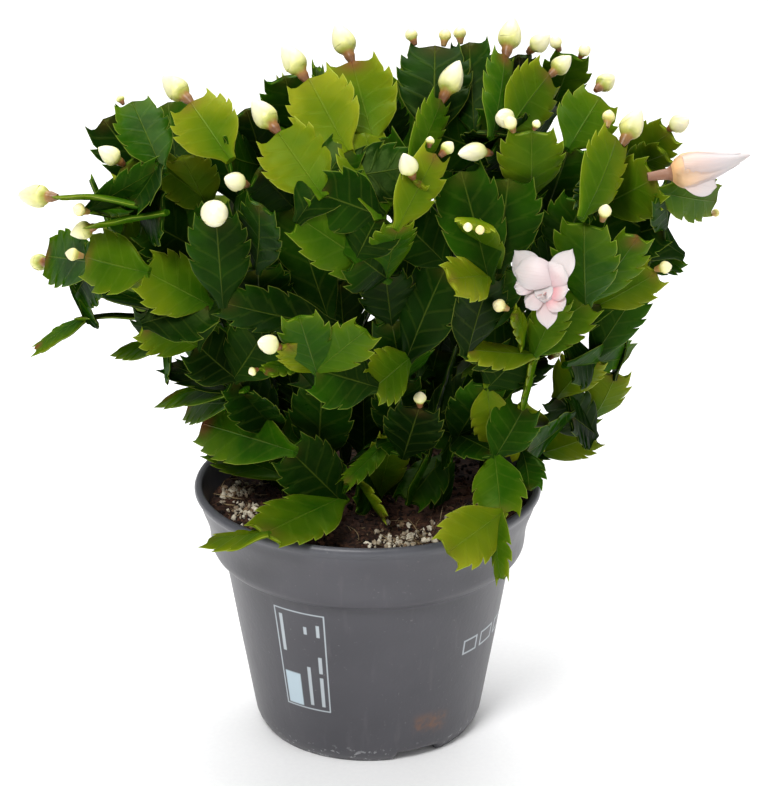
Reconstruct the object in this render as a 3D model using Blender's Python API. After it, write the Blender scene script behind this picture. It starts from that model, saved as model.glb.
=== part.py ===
"""A Christmas cactus in bud, growing in its plastic nursery pot.

The pot is turned about the z axis and stands on z = 0, and the plant faces -y. Seven rooted
cuttings stand in the potting mix. Each one is a branching string of flat stem segments. The
segments seen from the front are listed in SHOOTS, joint by joint. Rules fill in the stems that
carry them down to the mix, and the far side of the plant, which mirrors the near one in style.
"""

import math
import random

import bpy
import numpy as np
from mathutils import Matrix, Vector
from mathutils.bvhtree import BVHTree

MM = 0.001

# Pot, mm: (radius, height) round the outside from the foot to the lip, then down the inside.
RIM_R, POT_H, FOOT_R, WALL, FLOOR = 65.0, 98.0, 40.0, 1.8, 2.0
POT_OUTSIDE = (
    (FOOT_R, 0), (43.4, 5), (54.2, 69), (57.2, 71.2), (59.2, 75), (59.9, 82),
    (62.4, 89), (63.7, 93.4), (RIM_R, 95.4), (64.6, 97.4), (63.3, POT_H),
)
POT_INSIDE = (
    (62.2, 97.0), (61.5, 94), (58.1, 82.5), (57.4, 76), (52.4, 69.5), (41.7, 5), (39.8, FLOOR),
)
DRAIN_ANGLES, DRAIN_W, DRAIN_H = (26, 146, 266), 17.0, 3.6

# Potting mix, mm.
MIX_EDGE_Z, MIX_DOME, MIX_GAP = 87.5, 3.0, 0.35

# Stem segments, mm.
THICK, NECK, LAP, END, CLEAR = 2.0, 1.9, 3.2, 1.2, 0.45
STEP = 31.0
THICKET, GAP_STEP, BESIDE = 60, 4.0, 1.6
AROUND = 44
VIEW = Vector((0.0, -1.0, 0.38)).normalized()
EYE = Vector((0.0, -864.0, 465.0))
# Half width of the plant at each height, mm.
SPREAD = ((100, 135, 150, 170, 200, 225, 245, 265), (42, 62, 76, 90, 108, 108, 84, 50))

# Where each cutting stands in the mix, mm.
ROOTS = {
    "a": (-16, -8), "b": (4, 0), "c": (25, -4), "d": (40, 14),
    "e": (18, 30), "f": (-10, 32), "g": (-34, 14),
}
NAMES = {
    "a": "cutting_front_left", "b": "cutting_front", "c": "cutting_front_right",
    "d": "cutting_right", "e": "cutting_rear_right", "f": "cutting_rear_left",
    "g": "cutting_left",
}

# Bud sizes, mm: length, radius. R and X are a round one and a long curved one.
BUDS = {"L": (14.0, 3.7), "M": (9.8, 2.9), "S": (5.6, 2.1), "T": (3.4, 1.4), "R": (10.0, 4.1),
        "X": (16.0, 2.8), "F": (25.0, 17.5), "O": (30.0, 7.0)}
# Outline of a bud as (share of its length, share of its radius). F and O are the room that the
# open flower and the opening one take up.
SPINDLES = {
    "S": ((0.0, 0.5), (0.2, 0.62), (0.45, 1.05), (0.8, 0.66)),
    "F": ((0.0, 0.1), (0.4, 0.25), (0.64, 0.5), (0.76, 1.0), (0.95, 1.0)),
    "O": ((0.0, 0.25), (0.12, 0.3), (0.22, 0.75), (0.42, 1.0), (0.9, 0.6)),
}
AIMS = {"F": (-0.33, -0.85, 0.41), "O": (1.0, 0.05, 0.13)}

# The segments seen from the front: cutting, joints in mm from base to tip, width in mm, roll of
# the flat side away from the front in degrees, age of each segment (y young, m middle, o old,
# p pale underside), then buds at the tip as (size, mm off the middle, lean from upright in
# degrees, or None for a bud that points forward).
SHOOTS = (
    ("a", ((-26, -45, 218), (-36, -63, 235)), 22, 10, "o", ("M", -3, -96)),
    ("a", ((-67, -39, 215), (-82, -51, 233)), 23, 5, "m", ("M", 1, -51)),
    ("a", ((-60, -37, 214), (-71, -51, 234)), 16, 30, "m"),
    ("a", ((-55, -34, 215), (-62, -49, 236)), 18, -12, "y"),
    ("a", ((-68, -67, 222), (-91, -52, 213)), 17, 48, "m", ("M", 0, -112)),
    ("a", ((-57, -39, 199), (-76, -49, 214)), 24, 12, "o"),
    ("a", ((-70, -28, 192), (-84, -45, 207)), 19, 30, "m"),
    ("a", ((-55, -52, 185), (-75, -59, 199), (-96, -46, 200)), 23, 5, "my", ("S", 0, None)),
    ("a", ((-76, -28, 175), (-102, 16, 169)), 20, 70, "o"),
    ("a", ((-60, -34, 172), (-76, -55, 179)), 20, -15, "y"),
    ("a", ((-70, -28, 161), (-91, 10, 146)), 16, 60, "m"),
    ("a", ((-54, -31, 152), (-72, -11, 147)), 16, 50, "o"),
    ("a", ((-45, -33, 146), (-75, 10, 126)), 18, 60, "m"),
    ("a", ((-34, -33, 127), (-61, 2, 119)), 24, 10, "m"),
    ("a", ((-33, -17, 124), (-47, -37, 152), (-60, -38, 165)), 22, 20, "oo"),
    ("a", ((-25, -1, 108), (-16, -33, 147), (-13, -50, 177)), 24, 5, "oo"),
    ("a", ((-37, -40, 169), (-37, -59, 200)), 24, 10, "o"),
    ("a", ((-49, -61, 189), (-50, -71, 222)), 22, 0, "o", ("R", 0, None)),
    ("a", ((-25, -59, 208), (-35, -76, 227)), 19, 5, "o"),
    ("a", ((-10, -28, 101), (-28, -36, 124)), 24, 5, "o"),
    ("a", ((-8, -34, 102), (-36, -58, 101)), 25, 2, "m"),
    ("a", ((-34, -62, 101), (-56, -52, 96)), 15, 66, "y"),
    ("b", ((-23, -54, 162), (-34, -74, 168)), 10, 60, "m", ("T", 0, -110)),
    ("b", ((-7, -75, 202), (-22, -83, 225)), 21, 5, "m"),
    ("b", ((-3, -77, 210), (-13, -71, 234)), 24, 0, "o"),
    ("b", ((-15, -78, 232), (-29, -63, 248)), 24, 0, "y", ("L", 0, -76)),
    ("b", ((4, -79, 225), (-1, -61, 247)), 25, 5, "m"),
    ("b", ((2, -59, 245), (-5, -39, 266)), 26, 8, "y", ("L", 0, -33)),
    ("b", ((-7, -69, 245), (-19, -51, 263)), 24, 0, "y", ("L", -1, -36)),
    ("b", ((9, -18, 122), (12, -42, 153), (8, -56, 180), (6, -68, 200)), 20, 12, "ooo"),
    ("b", ((5, -78, 203), (10, -87, 224), (22, -72, 243)), 16, 24, "my", ("S", 2, 50), ("T", -3, 0)),
    ("b", ((14, -72, 239), (24, -55, 257)), 14, 38, "m", ("L", 1, 25)),
    ("b", ((13, -33, 121), (18, -46, 144)), 22, 0, "o", ("S", 0, 0)),
    ("b", ((-17, -82, 172), (-22, -95, 195)), 18, -8, "m"),
    ("b", ((-17, -82, 172), (-1, -94, 190)), 17, 15, "m"),
    ("b", ((14, -57, 167), (2, -77, 164)), 20, -20, "m"),
    ("b", ((-3, -26, 108), (6, -38, 99)), 10, 70, "y"),
    ("b", ((4, -14, 97), (9, -26, 125)), 16, 5, "y"),
    ("b", ((2, -30, 123), (-8, -38, 112)), 9, 70, "m"),
    ("b", ((25, -51, 173), (27, -67, 204)), 22, -5, "o"),
    ("b", ((-17, -71, 168), (-26, -90, 184)), 14, -20, "y", ("M", 0, -90)),
    ("b", ((10, -60, 219), (17, -80, 236)), 10, 10, "y", ("M", 0, -20)),
    ("c", ((32, -71, 208), (31, -65, 235)), 24, 0, "o"),
    ("c", ((32, -62, 204), (34, -76, 221), (35, -94, 225)), 14, -45, "my",
     ("T", -3, None), ("T", 1, None)),
    ("c", ((51, -58, 204), (47, -63, 232)), 26, 5, "o"),
    ("c", ((55, -55, 225), (54, -66, 249)), 23, 0, "y", ("S", -6, -45), ("T", 1, 20)),
    ("c", ((40, -73, 201), (27, -93, 207)), 18, 25, "y"),
    ("c", ((47, -54, 175), (33, -75, 176)), 13, 40, "y"),
    ("c", ((32, -26, 125), (42, -46, 152), (53, -50, 166), (75, -53, 186)), 20, 22, "oom"),
    ("c", ((74, -59, 188), (72, -72, 219)), 24, 4, "m", ("S", 6, 12)),
    ("c", ((75, -64, 190), (90, -66, 213)), 18, 24, "m"),
    ("c", ((82, -27, 176), (100, -38, 191)), 17, 15, "y", ("S", -1, 95)),
    ("c", ((45, -44, 147), (57, -56, 167)), 16, 76, "p"),
    ("c", ((41, -52, 152), (45, -34, 126)), 15, 10, "y"),
    ("c", ((55, -40, 142), (60, 0, 107)), 20, -5, "y"),
    ("c", ((45, -46, 126), (47, -56, 108)), 20, 5, "m"),
    ("c", ((47, -58, 109), (28, -71, 100)), 22, 5, "y"),
    ("c", ((48, -58, 109), (47, -71, 90)), 12, 55, "y"),
    ("c", ((30, -14, 100), (15, -22, 98)), 18, 30, "o"),
    ("c", ((36, -48, 171), (44, -64, 202)), 22, 10, "o"),
    ("c", ((57, -53, 178), (49, -73, 188)), 10, 60, "m", ("S", 0, -60)),
    ("c", ((62, -44, 171), (65, -63, 190)), 14, 10, "m", ("F", 0, None)),
    ("d", ((56, -57, 243), (79, -33, 252)), 26, 5, "m", ("M", -3, 14)),
    ("d", ((62, -41, 216), (68, -50, 240)), 22, 0, "o"),
    ("d", ((71, -75, 224), (83, -51, 243)), 20, 22, "y", ("S", -5, -8), ("L", 4, 38)),
    ("d", ((91, -11, 223), (104, -29, 239)), 18, 8, "m", ("M", -1, 98)),
    ("d", ((91, -14, 222), (102, -34, 233)), 14, 30, "m"),
    ("d", ((80, -37, 215), (97, -51, 229)), 24, 5, "m", ("O", 0, 88)),
    ("d", ((99, -50, 224), (121, -27, 214)), 18, 20, "y", ("T", -5, 40)),
    ("d", ((85, -26, 199), (102, -43, 210)), 20, 5, "o"),
    ("d", ((98, -7, 184), (109, -28, 195)), 16, 20, "o"),
    ("d", ((80, -17, 160), (96, -26, 182)), 18, 45, "o"),
    ("d", ((71, -37, 157), (96, 4, 145)), 18, 48, "m"),
    ("d", ((70, -3, 132), (81, -19, 153)), 18, 10, "y"),
    ("d", ((75, 18, 121), (92, 6, 137)), 18, 20, "y"),
    ("d", ((66, 24, 98), (85, 10, 111)), 17, 18, "y"),
    ("d", ((68, 28, 101), (85, 14, 117)), 12, 74, "y"),
    ("d", ((56, -36, 123), (58, -44, 112)), 14, 30, "o"),
    ("e", ((22, -58, 247), (23, -34, 270)), 26, 0, "o", ("S", -2, -30), ("S", 3, 12)),
    ("e", ((36, -51, 246), (35, -25, 269)), 20, -10, "o", ("S", -3, -5)),
    ("e", ((41, -62, 248), (46, -38, 268)), 14, 35, "m", ("L", 1, 15)),
    ("e", ((47, -56, 248), (61, -36, 261)), 22, 5, "m", ("M", 1, 55)),
    ("e", ((55, -5, 243), (52, -22, 264)), 14, 0, "o", ("M", 1, 45)),
    ("e", ((67, 3, 242), (71, -13, 262)), 18, 0, "m", ("S", -2, -25), ("S", 3, 40)),
    ("e", ((66, -45, 201), (72, -58, 223)), 22, 5, "o"),
    ("e", ((54, -46, 237), (44, -66, 247)), 24, 0, "o", ("X", -6, -80), ("M", 2, -95)),
    ("f", ((-46, -62, 240), (-59, -43, 253)), 23, 0, "y", ("L", 0, -66)),
    ("f", ((-36, -25, 226), (-41, -37, 249)), 20, 15, "o"),
    ("f", ((-23, -14, 236), (-28, -27, 258)), 22, 0, "o"),
    ("f", ((9, -21, 231), (6, -37, 251)), 16, 0, "o", ("T", 2, 25)),
    ("g", ((-69, -57, 235), (-80, -31, 250)), 19, 10, "m", ("T", -6, -35)),
    ("g", ((-64, -49, 232), (-68, -28, 249)), 22, -10, "o"),
    ("g", ((-78, -58, 222), (-104, -39, 219)), 14, 62, "m", ("L", 0, -93)),
    ("g", ((-81, -34, 213), (-95, -54, 219)), 14, 72, "m", ("S", 2, -60)),
    ("g", ((-92, -41, 196), (-117, 10, 182)), 22, 0, "m", ("M", -2, -105)),
    ("g", ((-79, -19, 168), (-104, 10, 158), (-123, 10, 146)), 14, 84, "mm"),
    ("g", ((-51, -16, 134), (-67, 14, 121)), 17, 20, "m"),
    ("g", ((-30, -10, 102), (-58, 10, 105)), 18, 52, "p"),
)


class Segment:
    """One flat stem segment from joint to joint, with its width, flat side and age."""

    def __init__(self, cutting, base, tip, width, roll, age, look=VIEW, thick=THICK):
        self.cutting, self.base, self.tip = cutting, Vector(base), Vector(tip)
        self.width, self.roll, self.age, self.look, self.thick = width, roll, age, look, thick
        self.parent, self.buds, self.carries = None, [], 0

    def frame(self):
        """Direction, sideways and flat-side unit vectors. The flat side turns to the look."""
        along = (self.tip - self.base).normalized()
        flat = self.look - along * self.look.dot(along)
        if flat.length < 0.15:
            flat = Vector((0.2, 0.1, 1.0)) - along * along.dot(Vector((0.2, 0.1, 1.0)))
        flat = Matrix.Rotation(math.radians(self.roll), 3, along) @ flat.normalized()
        return along, flat.cross(along), flat

    def plate(self, grow=0.0):
        """Corners and faces of the segment as a flat plate, made larger all round by grow."""
        along, side, flat = self.frame()
        length, half = (self.tip - self.base).length, self.width / 2
        outline = ((-LAP - grow, NECK + grow), (0.52 * length, half + grow),
                   (length + END + grow, 0.58 * half + grow))
        ring = [(a, -s) for a, s in outline] + [(a, s) for a, s in reversed(outline)]
        deep = flat * (self.thick / 2 + grow)
        points = [self.base + along * a + side * s + deep * turn
                  for turn in (-1, 1) for a, s in ring]
        count = len(ring)
        faces = [tuple(range(count - 1, -1, -1)), tuple(range(count, 2 * count))]
        faces += [(i, (i + 1) % count, (i + 1) % count + count, i + count)
                  for i in range(count)]
        return points, faces


class Bud:
    """A closed bud: a spindle from its foot along an axis."""

    def __init__(self, size, foot, axis, cutting):
        self.size, self.foot, self.axis, self.cutting = size, foot, axis.normalized(), cutting

    def spindle(self, grow=0.0):
        length, radius = BUDS[self.size]
        bend = -0.16 * length if self.size == "X" else 0.0
        rings = [(t * length, r * radius) for t, r in SPINDLES.get(self.size, SPINDLES["S"])]
        return self.rings(rings, length, grow, bend)

    def rings(self, rings, length, grow=0.0, bend=0.0):
        """Corners and faces of rings of (distance, radius) round the axis, pointed at both ends."""
        side = self.axis.orthogonal().normalized()
        over = self.axis.cross(side)
        around = 6
        points = [self.foot - self.axis * grow]
        for reach, radius in rings:
            middle = self.foot + self.axis * reach + Vector((0, 0, bend * (reach / length) ** 2))
            for k in range(around):
                turn = 2 * math.pi * k / around
                points.append(middle + (side * math.cos(turn) + over * math.sin(turn))
                              * (radius + grow))
        points.append(self.foot + self.axis * (length + grow) + Vector((0, 0, bend)))
        last = len(points) - 1
        faces = [(0, 1 + (k + 1) % around, 1 + k) for k in range(around)]
        for j in range(len(rings) - 1):
            low = 1 + j * around
            faces += [(low + k, low + (k + 1) % around, low + around + (k + 1) % around,
                       low + around + k) for k in range(around)]
        low = 1 + (len(rings) - 1) * around
        faces += [(low + k, low + (k + 1) % around, last) for k in range(around)]
        return points, faces


def turned(profile, around, cap=True):
    """Corners and faces of a closed profile of (radius, height) turned about z, in mm. The
    first and last points are joined by discs to the axis."""
    points, faces = [], []
    for r, z in profile:
        for k in range(around):
            turn = 2 * math.pi * (k + 0.5) / around
            points.append(Vector((r * math.sin(turn), -r * math.cos(turn), z)))
    for j in range(len(profile) - 1):
        for k in range(around):
            a, b = j * around + k, j * around + (k + 1) % around
            faces.append((a, b, b + around, a + around))
    if cap:
        faces.append(tuple(range(around - 1, -1, -1)))
        top = (len(profile) - 1) * around
        faces.append(tuple(range(top, top + around)))
    return points, faces


def mix_height(x, y):
    """Height of the potting mix, a low uneven dome, in mm."""
    reach = min(1.0, math.hypot(x, y) / 58.0)
    ripple = 0.7 * math.sin(0.16 * x + 1.0) * math.cos(0.13 * y) * (1 - reach**4)
    return MIX_EDGE_Z + MIX_DOME * (1 - reach**2) + ripple


def mix_shape(grow=0.0):
    """The potting mix: the inside of the pot up to its dome."""
    sides = [(r - MIX_GAP + grow, z) for r, z in reversed(POT_INSIDE) if z < MIX_EDGE_Z - 1]
    sides[0] = (sides[0][0], FLOOR + MIX_GAP - grow)
    rim = float(np.interp(MIX_EDGE_Z, *zip(*((z, r) for r, z in reversed(POT_INSIDE)))))
    sides.append((rim - MIX_GAP - 0.6 + grow, MIX_EDGE_Z))
    points, faces = turned(sides + [(r, 0.0) for r in (44.0, 28.0, 11.0)], AROUND)
    for i in range(len(sides) * AROUND, len(points)):
        points[i].z = mix_height(points[i].x, points[i].y) + grow
    return points, faces


class Plant:
    """Places segments and buds one after another, each clear of all that stands before it."""

    def __init__(self):
        self.segments, self.buds, self.trees = [], [], []
        self.random = random.Random(33)
        self.joints, self.apart = {}, False
        self.block("pot", *turned(POT_OUTSIDE + POT_INSIDE, AROUND))
        self.block("mix", *mix_shape())

    def block(self, owner, points, faces):
        centre = sum(points, Vector()) / len(points)
        radius = max((p - centre).length for p in points)
        entry = [owner, BVHTree.FromPolygons(points, faces), centre, radius]
        self.trees.append(entry)
        return entry

    def clear(self, points, faces, skip=(), cutting=None):
        """True where the shape meets nothing placed so far. Shapes of the same cutting count
        only where cutting isn't given."""
        if "mix" not in skip and any(
                p.z < mix_height(p.x, p.y) + 0.4 and math.hypot(p.x, p.y) < RIM_R for p in points):
            return False
        centre = sum(points, Vector()) / len(points)
        radius = max((p - centre).length for p in points)
        tree = BVHTree.FromPolygons(points, faces)
        for owner, other, middle, reach in self.trees:
            if owner in skip or (isinstance(owner, Segment) and owner.cutting == cutting):
                continue
            if (middle - centre).length < radius + reach and tree.overlap(other):
                return False
        return True

    def settle(self, segment, skip=(), rolls=(0, 12, -12, 24, -24, 38, -38), widths=(1, 0.85)):
        """Turns or narrows the segment until it's clear. Its own cutting is avoided first, and
        may be met after that, unless all is kept apart."""
        roll, width = segment.roll, segment.width
        for cutting in (None,) if self.apart else (None, segment.cutting):
            for scale in widths:
                for turn in rolls:
                    segment.roll, segment.width = roll + turn, width * scale
                    if self.clear(*segment.plate(CLEAR), skip=skip, cutting=cutting):
                        return True
        segment.roll, segment.width = roll, width
        return False

    def add(self, segment):
        self.segments.append(segment)
        segment.entry = self.block(segment, *segment.plate())

    def remove(self, segment):
        self.segments.remove(segment)
        self.trees.remove(segment.entry)
        for bud in segment.buds:
            self.buds.remove(bud)
            self.trees.remove(bud.entry)

    def place_shoot(self, cutting, joints, width, roll, ages, buds=(), look=VIEW):
        """Puts a string of segments down, or moves it a little nearer or farther from the eye
        so that it's clear. Returns its segments, or none where there's no room."""
        for push in (0, 4, -4, 8, -8, 12, -12, 17, 22):
            moved = [Vector(j) + (Vector(j) - EYE).normalized() * push for j in joints]
            made = []
            for i in range(len(moved) - 1):
                turn = roll if len(ages) == 1 else roll * (1 - 0.25 * i)
                segment = Segment(cutting, moved[i], moved[i + 1], width, turn, ages[i], look)
                skip = tuple(made[-1:])
                if not self.settle(segment, skip=skip):
                    break
                segment.parent = made[-1] if made else None
                self.add(segment)
                made.append(segment)
            if len(made) == len(joints) - 1:
                for size, off, lean in buds:
                    self.place_bud(made[-1], size, off, lean)
                return made
            for segment in reversed(made):
                self.remove(segment)
        return []

    def place_bud(self, segment, size, off, lean):
        """Sets a bud just clear of the segment's tip."""
        along, side, flat = segment.frame()
        if side.x < 0:
            side = -side
        if size in AIMS:
            aim = Vector(AIMS[size]).normalized()
        elif lean is None:
            aim = Vector((0, -1.0, 0.25)).normalized()
        else:
            aim = Vector((math.sin(math.radians(lean)), along.y * 0.5,
                          math.cos(math.radians(lean)))).normalized()
        for step in range(20):
            blend, lift = (0, 0.3, 0.6, 0.9)[step % 4], (0.5, 0.8, 1.2, 1.6, 2.2)[step // 4]
            if size == "O":
                lift += 1.6
            for slide in (0, -3, 3, -5, 5):
                axis = (aim * (1 - blend) + along * blend).normalized()
                foot = segment.tip + along * (END + lift) + side * (off + slide)
                if lean is None:
                    foot += aim * 1.2
                bud = Bud(size, foot, axis, segment.cutting)
                if abs(off + slide) <= 0.3 * segment.width and self.clear(*bud.spindle(0.35)):
                    self.buds.append(bud)
                    segment.buds.append(bud)
                    bud.entry = self.block(bud, *bud.spindle())
                    return bud
        return None

    def root(self, cutting):
        """The first segment of a cutting, planted in the mix."""
        x, y = ROOTS[cutting]
        base = Vector((x, y, mix_height(x, y) - 8))
        out = Vector((x, y, 0)) * 0.12
        tip = base + Vector((out.x, out.y, 24)).normalized() * 27
        segment = Segment(cutting, base, tip, 17, 15, "o", look=Vector((x, y - 25, 12)).normalized())
        segment.root = True
        rolls = tuple(range(0, 180, 15))
        if not self.settle(segment, skip=("mix",), rolls=rolls, widths=(1, 0.85, 0.7, 0.5)):
            raise ValueError("no room for the root of " + cutting)
        self.add(segment)
        segment.reach = 27.0
        self.joints[cutting] = [segment]

    def connect(self, shoot):
        """Carries a string of segments down to its cutting, along a gentle arch."""
        first, cutting = shoot[0], shoot[0].cutting
        start = first.base.copy()
        heading = (first.tip - first.base).normalized()

        def cost(parent):
            gap = (parent.tip - start).length
            over = max(0.0, parent.tip.z - start.z + 6)
            ahead = max(0.0, start.y - parent.tip.y)
            taken = 11 * parent.carries + 40 * bool(parent.buds)
            return gap + 0.35 * parent.reach + taken + 1.5 * over + 0.8 * ahead

        parents, trials = (5, 4) if self.apart else (14, 9)
        for parent in sorted(self.joints[cutting], key=cost)[:parents]:
            gap = (parent.tip - start).length
            if gap < 15:
                self.trees.remove(first.entry)
                old = first.base.copy()
                first.base = parent.tip.copy()
                if (first.tip - first.base).length > 14 and self.settle(first, skip=(parent,)):
                    first.entry = self.block(first, *first.plate())
                    self.join(parent, shoot)
                    return True
                first.base = old
                self.trees.append(first.entry)
                continue
            for trial in range(trials):
                sway = Vector([self.random.uniform(-1, 1) for _ in range(3)]) * (2.2 * trial)
                rise = (parent.tip - parent.base).normalized()
                one = parent.tip + (rise + Vector((0, 0, 0.4))) * gap * 0.3 + sway
                two = start - heading * gap * 0.3 + sway
                count = max(1, round(gap / STEP))
                stops = []
                for k in range(count + 1):
                    t = k / count
                    stops.append(parent.tip * (1 - t) ** 3 + one * 3 * t * (1 - t) ** 2
                                 + two * 3 * t * t * (1 - t) + start * t**3)
                made, last = [], parent
                for k in range(count):
                    out = Vector((stops[k].x, stops[k].y - 30, 20)).normalized()
                    width = self.random.uniform(19, 24) if trial < 5 else 11
                    segment = Segment(cutting, stops[k], stops[k + 1], width,
                                      self.random.uniform(-25, 25), "o", look=out)
                    skip = (last,) + tuple(last.entry[0:0]) + ((first,) if k == count - 1 else ())
                    if not self.settle(segment, skip=skip, widths=(1, 0.8, 0.6),
                                       rolls=(0, 20, -20, 40, -40, 65, -65, 90)):
                        break
                    segment.parent = last
                    self.add(segment)
                    made.append(segment)
                    last = segment
                if len(made) == count:
                    self.join(parent, made + shoot)
                    return True
                for segment in reversed(made):
                    self.remove(segment)
        for segment in reversed(shoot):
            self.remove(segment)
        return False

    def join(self, parent, string):
        parent.carries += 1
        for segment in string:
            segment.parent = parent
            segment.reach = parent.reach + (segment.tip - segment.base).length
            segment.carries = max(segment.carries, 0)
            self.joints[segment.cutting].append(segment)
            parent.carries += segment is not string[0]
            parent = segment

    def nearest(self, x, y, among):
        return min(among, key=lambda c: math.hypot(ROOTS[c][0] * 2 - x, ROOTS[c][1] * 2 - y))

    def grow(self):
        for cutting in ROOTS:
            self.root(cutting)
        front = []
        for row in SHOOTS:
            made = self.place_shoot(*row[:5], row[5:])
            if made:
                front.append((made, row))
        front.sort(key=lambda f: (f[0][0].base - Vector((*ROOTS[f[1][0]], 90))).length)
        left = [row for made, row in front if not self.connect(made)]
        for row in left:
            x, y, _ = row[1][0]
            for cutting in sorted(ROOTS, key=lambda c: math.hypot(ROOTS[c][0] - x, ROOTS[c][1] - y)):
                made = self.place_shoot(cutting, *row[1:5], row[5:])
                if made and self.connect(made):
                    break
        self.fill()
        self.thicken()

    def seen_through(self, spot):
        """True where the eye would see past everything at the spot, or just beside it."""
        way = (spot - EYE).normalized()
        near = []
        for _, tree, middle, reach in self.trees:
            off = middle - EYE
            if (off - way * off.dot(way)).length < reach + 2 * BESIDE:
                near.append(tree)
        for x, z in ((0, 0), (BESIDE, 0), (-BESIDE, 0), (0, BESIDE), (0, -BESIDE)):
            way = (spot + Vector((x, 0, z)) - EYE).normalized()
            if not any(tree.ray_cast(EYE, way)[0] for tree in near):
                return True
        return False

    def stand(self, spot, width, roll, age, cutting):
        """An old segment of the cutting with its middle at the spot."""
        heading = Vector((spot.x / 120, 0.1, 1.0)).normalized()
        half = 14 if width > 15 else 10
        made = self.place_shoot(cutting, (spot - heading * half, spot + heading * half), width,
                                roll, age)
        return bool(made) and self.connect(made)

    def nearest_few(self, spot):
        """The three cuttings nearest to the spot."""
        return sorted("bcdefg", key=lambda c: math.hypot(ROOTS[c][0] * 2 - spot.x,
                                                         ROOTS[c][1] * 2 - spot.y))[:3]

    def thicken(self):
        """Old segments close together inside the plant: first evenly, then wherever the eye
        would still see through it."""
        self.apart = True
        for i in range(THICKET):
            height = 112 + 88 * ((i * 0.618) % 1.0)
            x = 0.82 * float(np.interp(height, *SPREAD)) * (2 * ((i * 0.7549) % 1.0) - 1)
            self.stand(Vector((x, -8 + 58 * (i + 0.5) / THICKET, height)),
                       self.random.uniform(20, 25), self.random.uniform(-25, 25),
                       self.random.choice("oom"), self.nearest(x, 20, "bcdefg"))
        for height in np.arange(106.0, 226.0, GAP_STEP):
            wide = 0.8 * float(np.interp(height, *SPREAD))
            for x in np.arange(-wide, wide, GAP_STEP):
                seen = Vector((float(x), 10.0, float(height)))
                if not self.seen_through(seen):
                    continue
                way = (seen - EYE) / (seen.y - EYE.y)
                for self.apart in (True, False):
                    if any(self.stand(seen + way * away, width, 0, "o", cutting)
                           for width in (22, 12) for away in (16, 4, 28, -6, 40, -18)
                           for cutting in self.nearest_few(seen)):
                        break

    def fill(self):
        """The far side: strings spread evenly over the back of a dome, most with a bud."""
        spots, turn = [], math.radians(137.5)
        for i in range(120):
            rise = 0.02 + 0.96 * (i + 0.5) / 120
            around = turn * i
            level = math.sqrt(max(0.0, 1 - rise**2))
            height = 112 + 138 * rise
            wide = float(np.interp(height, *SPREAD)) * (level if rise > 0.75 else 0.98)
            spot = Vector((wide * math.cos(around), 6 + 0.8 * wide * math.sin(around), height))
            if spot.y > 8:
                spots.append(spot)
        spots.sort(key=lambda s: s.z)
        sizes = ["M", "S", "L", "S", "M", "T"]
        for i, spot in enumerate(spots):
            out = Vector((spot.x, spot.y * 1.3, (spot.z - 128) * 1.1)).normalized()
            heading = (out + Vector((0, 0, 0.25))).normalized()
            tip = spot + heading * self.random.uniform(-6, 8)
            base = tip - heading * self.random.uniform(26, 31)
            cutting = self.nearest(spot.x, spot.y, "defg")
            buds = ()
            if sizes and i % 7 == 3:
                buds = ((sizes[0], 0, self.random.uniform(-40, 40)),)
            look = (out + Vector((0, 0, 1.2))).normalized()
            made = self.place_shoot(cutting, (base, tip), self.random.uniform(19, 25),
                                    self.random.uniform(-35, 35),
                                    self.random.choice("ymmo"), buds, look)
            if made and self.connect(made) and made[-1].buds:
                sizes.pop(0)


def flower_shapes(bloom):
    """The parts of a flower, each closed, that are then joined: a tube and its petals."""
    foot, axis = bloom.foot, bloom.axis
    across = Vector((1, 0, 0)) - axis * axis.x if bloom.size == "F" else Vector((0, -1, 0))
    across = (across - axis * axis.dot(across)).normalized()
    above = across.cross(axis)
    if above.z < 0:
        above = -above
    shapes = []
    if bloom.size == "F":
        shapes.append(bloom.rings(((0, 1.3), (4, 2.2), (12, 3.4), (19, 4.8), (22, 4.2)), 24))
        petals = ((-40, 17.5, 10.5, 1.0), (31, 15.5, 9, 0.0), (179, 12.5, 8, 0.0),
                  (-82, 10, 10, -1.5), (108, 8.5, 9, -1.5), (0, 8.5, 13, -3.0))
        for clock, reach, width, back in petals:
            turn = math.radians(clock)
            out = above * math.cos(turn) + across * math.sin(turn)
            base = foot + axis * 18.0 + out * 2.0
            tip = foot + axis * (20.5 - back) + out * (reach - 1.2)
            shapes.append(Segment("", base, tip, width, 0, "y", axis, 1.5).plate())
    else:
        shapes.append(bloom.rings(((0, 1.6), (3.5, 1.9), (6, 4.4), (13, 5.9), (19, 4.8),
                                   (25, 2.4)), 30))
        for clock, start, reach, out_by, width in ((180, 11, 19, 6.5, 8), (-25, 14, 29, 3.4, 7)):
            turn = math.radians(clock)
            out = above * math.cos(turn) + across * math.sin(turn)
            base = foot + axis * start + out * 3.0
            tip = foot + axis * reach + out * out_by
            shapes.append(Segment("", base, tip, width, 0, "y", out, 1.5).plate())
    return shapes


def material(name, colour, roughness):
    made = bpy.data.materials.new(name)
    made.use_nodes = True
    shader = made.node_tree.nodes["Principled BSDF"]
    shader.inputs["Base Color"].default_value = (*colour, 1.0)
    shader.inputs["Roughness"].default_value = roughness
    shader.inputs["Metallic"].default_value = 0.0
    return made


def solid(name, shape, paint=None, smooth=False, where=None):
    """A mesh object of the shape, whose points are in mm."""
    points, faces = shape
    mesh = bpy.data.meshes.new(name)
    mesh.from_pydata([p * MM for p in points], [], faces)
    mesh.polygons.foreach_set("use_smooth", [smooth] * len(faces))
    if paint:
        mesh.materials.append(paint)
    made = bpy.data.objects.new(name, mesh)
    (where or bpy.context.scene.collection).objects.link(made)
    return made


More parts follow.
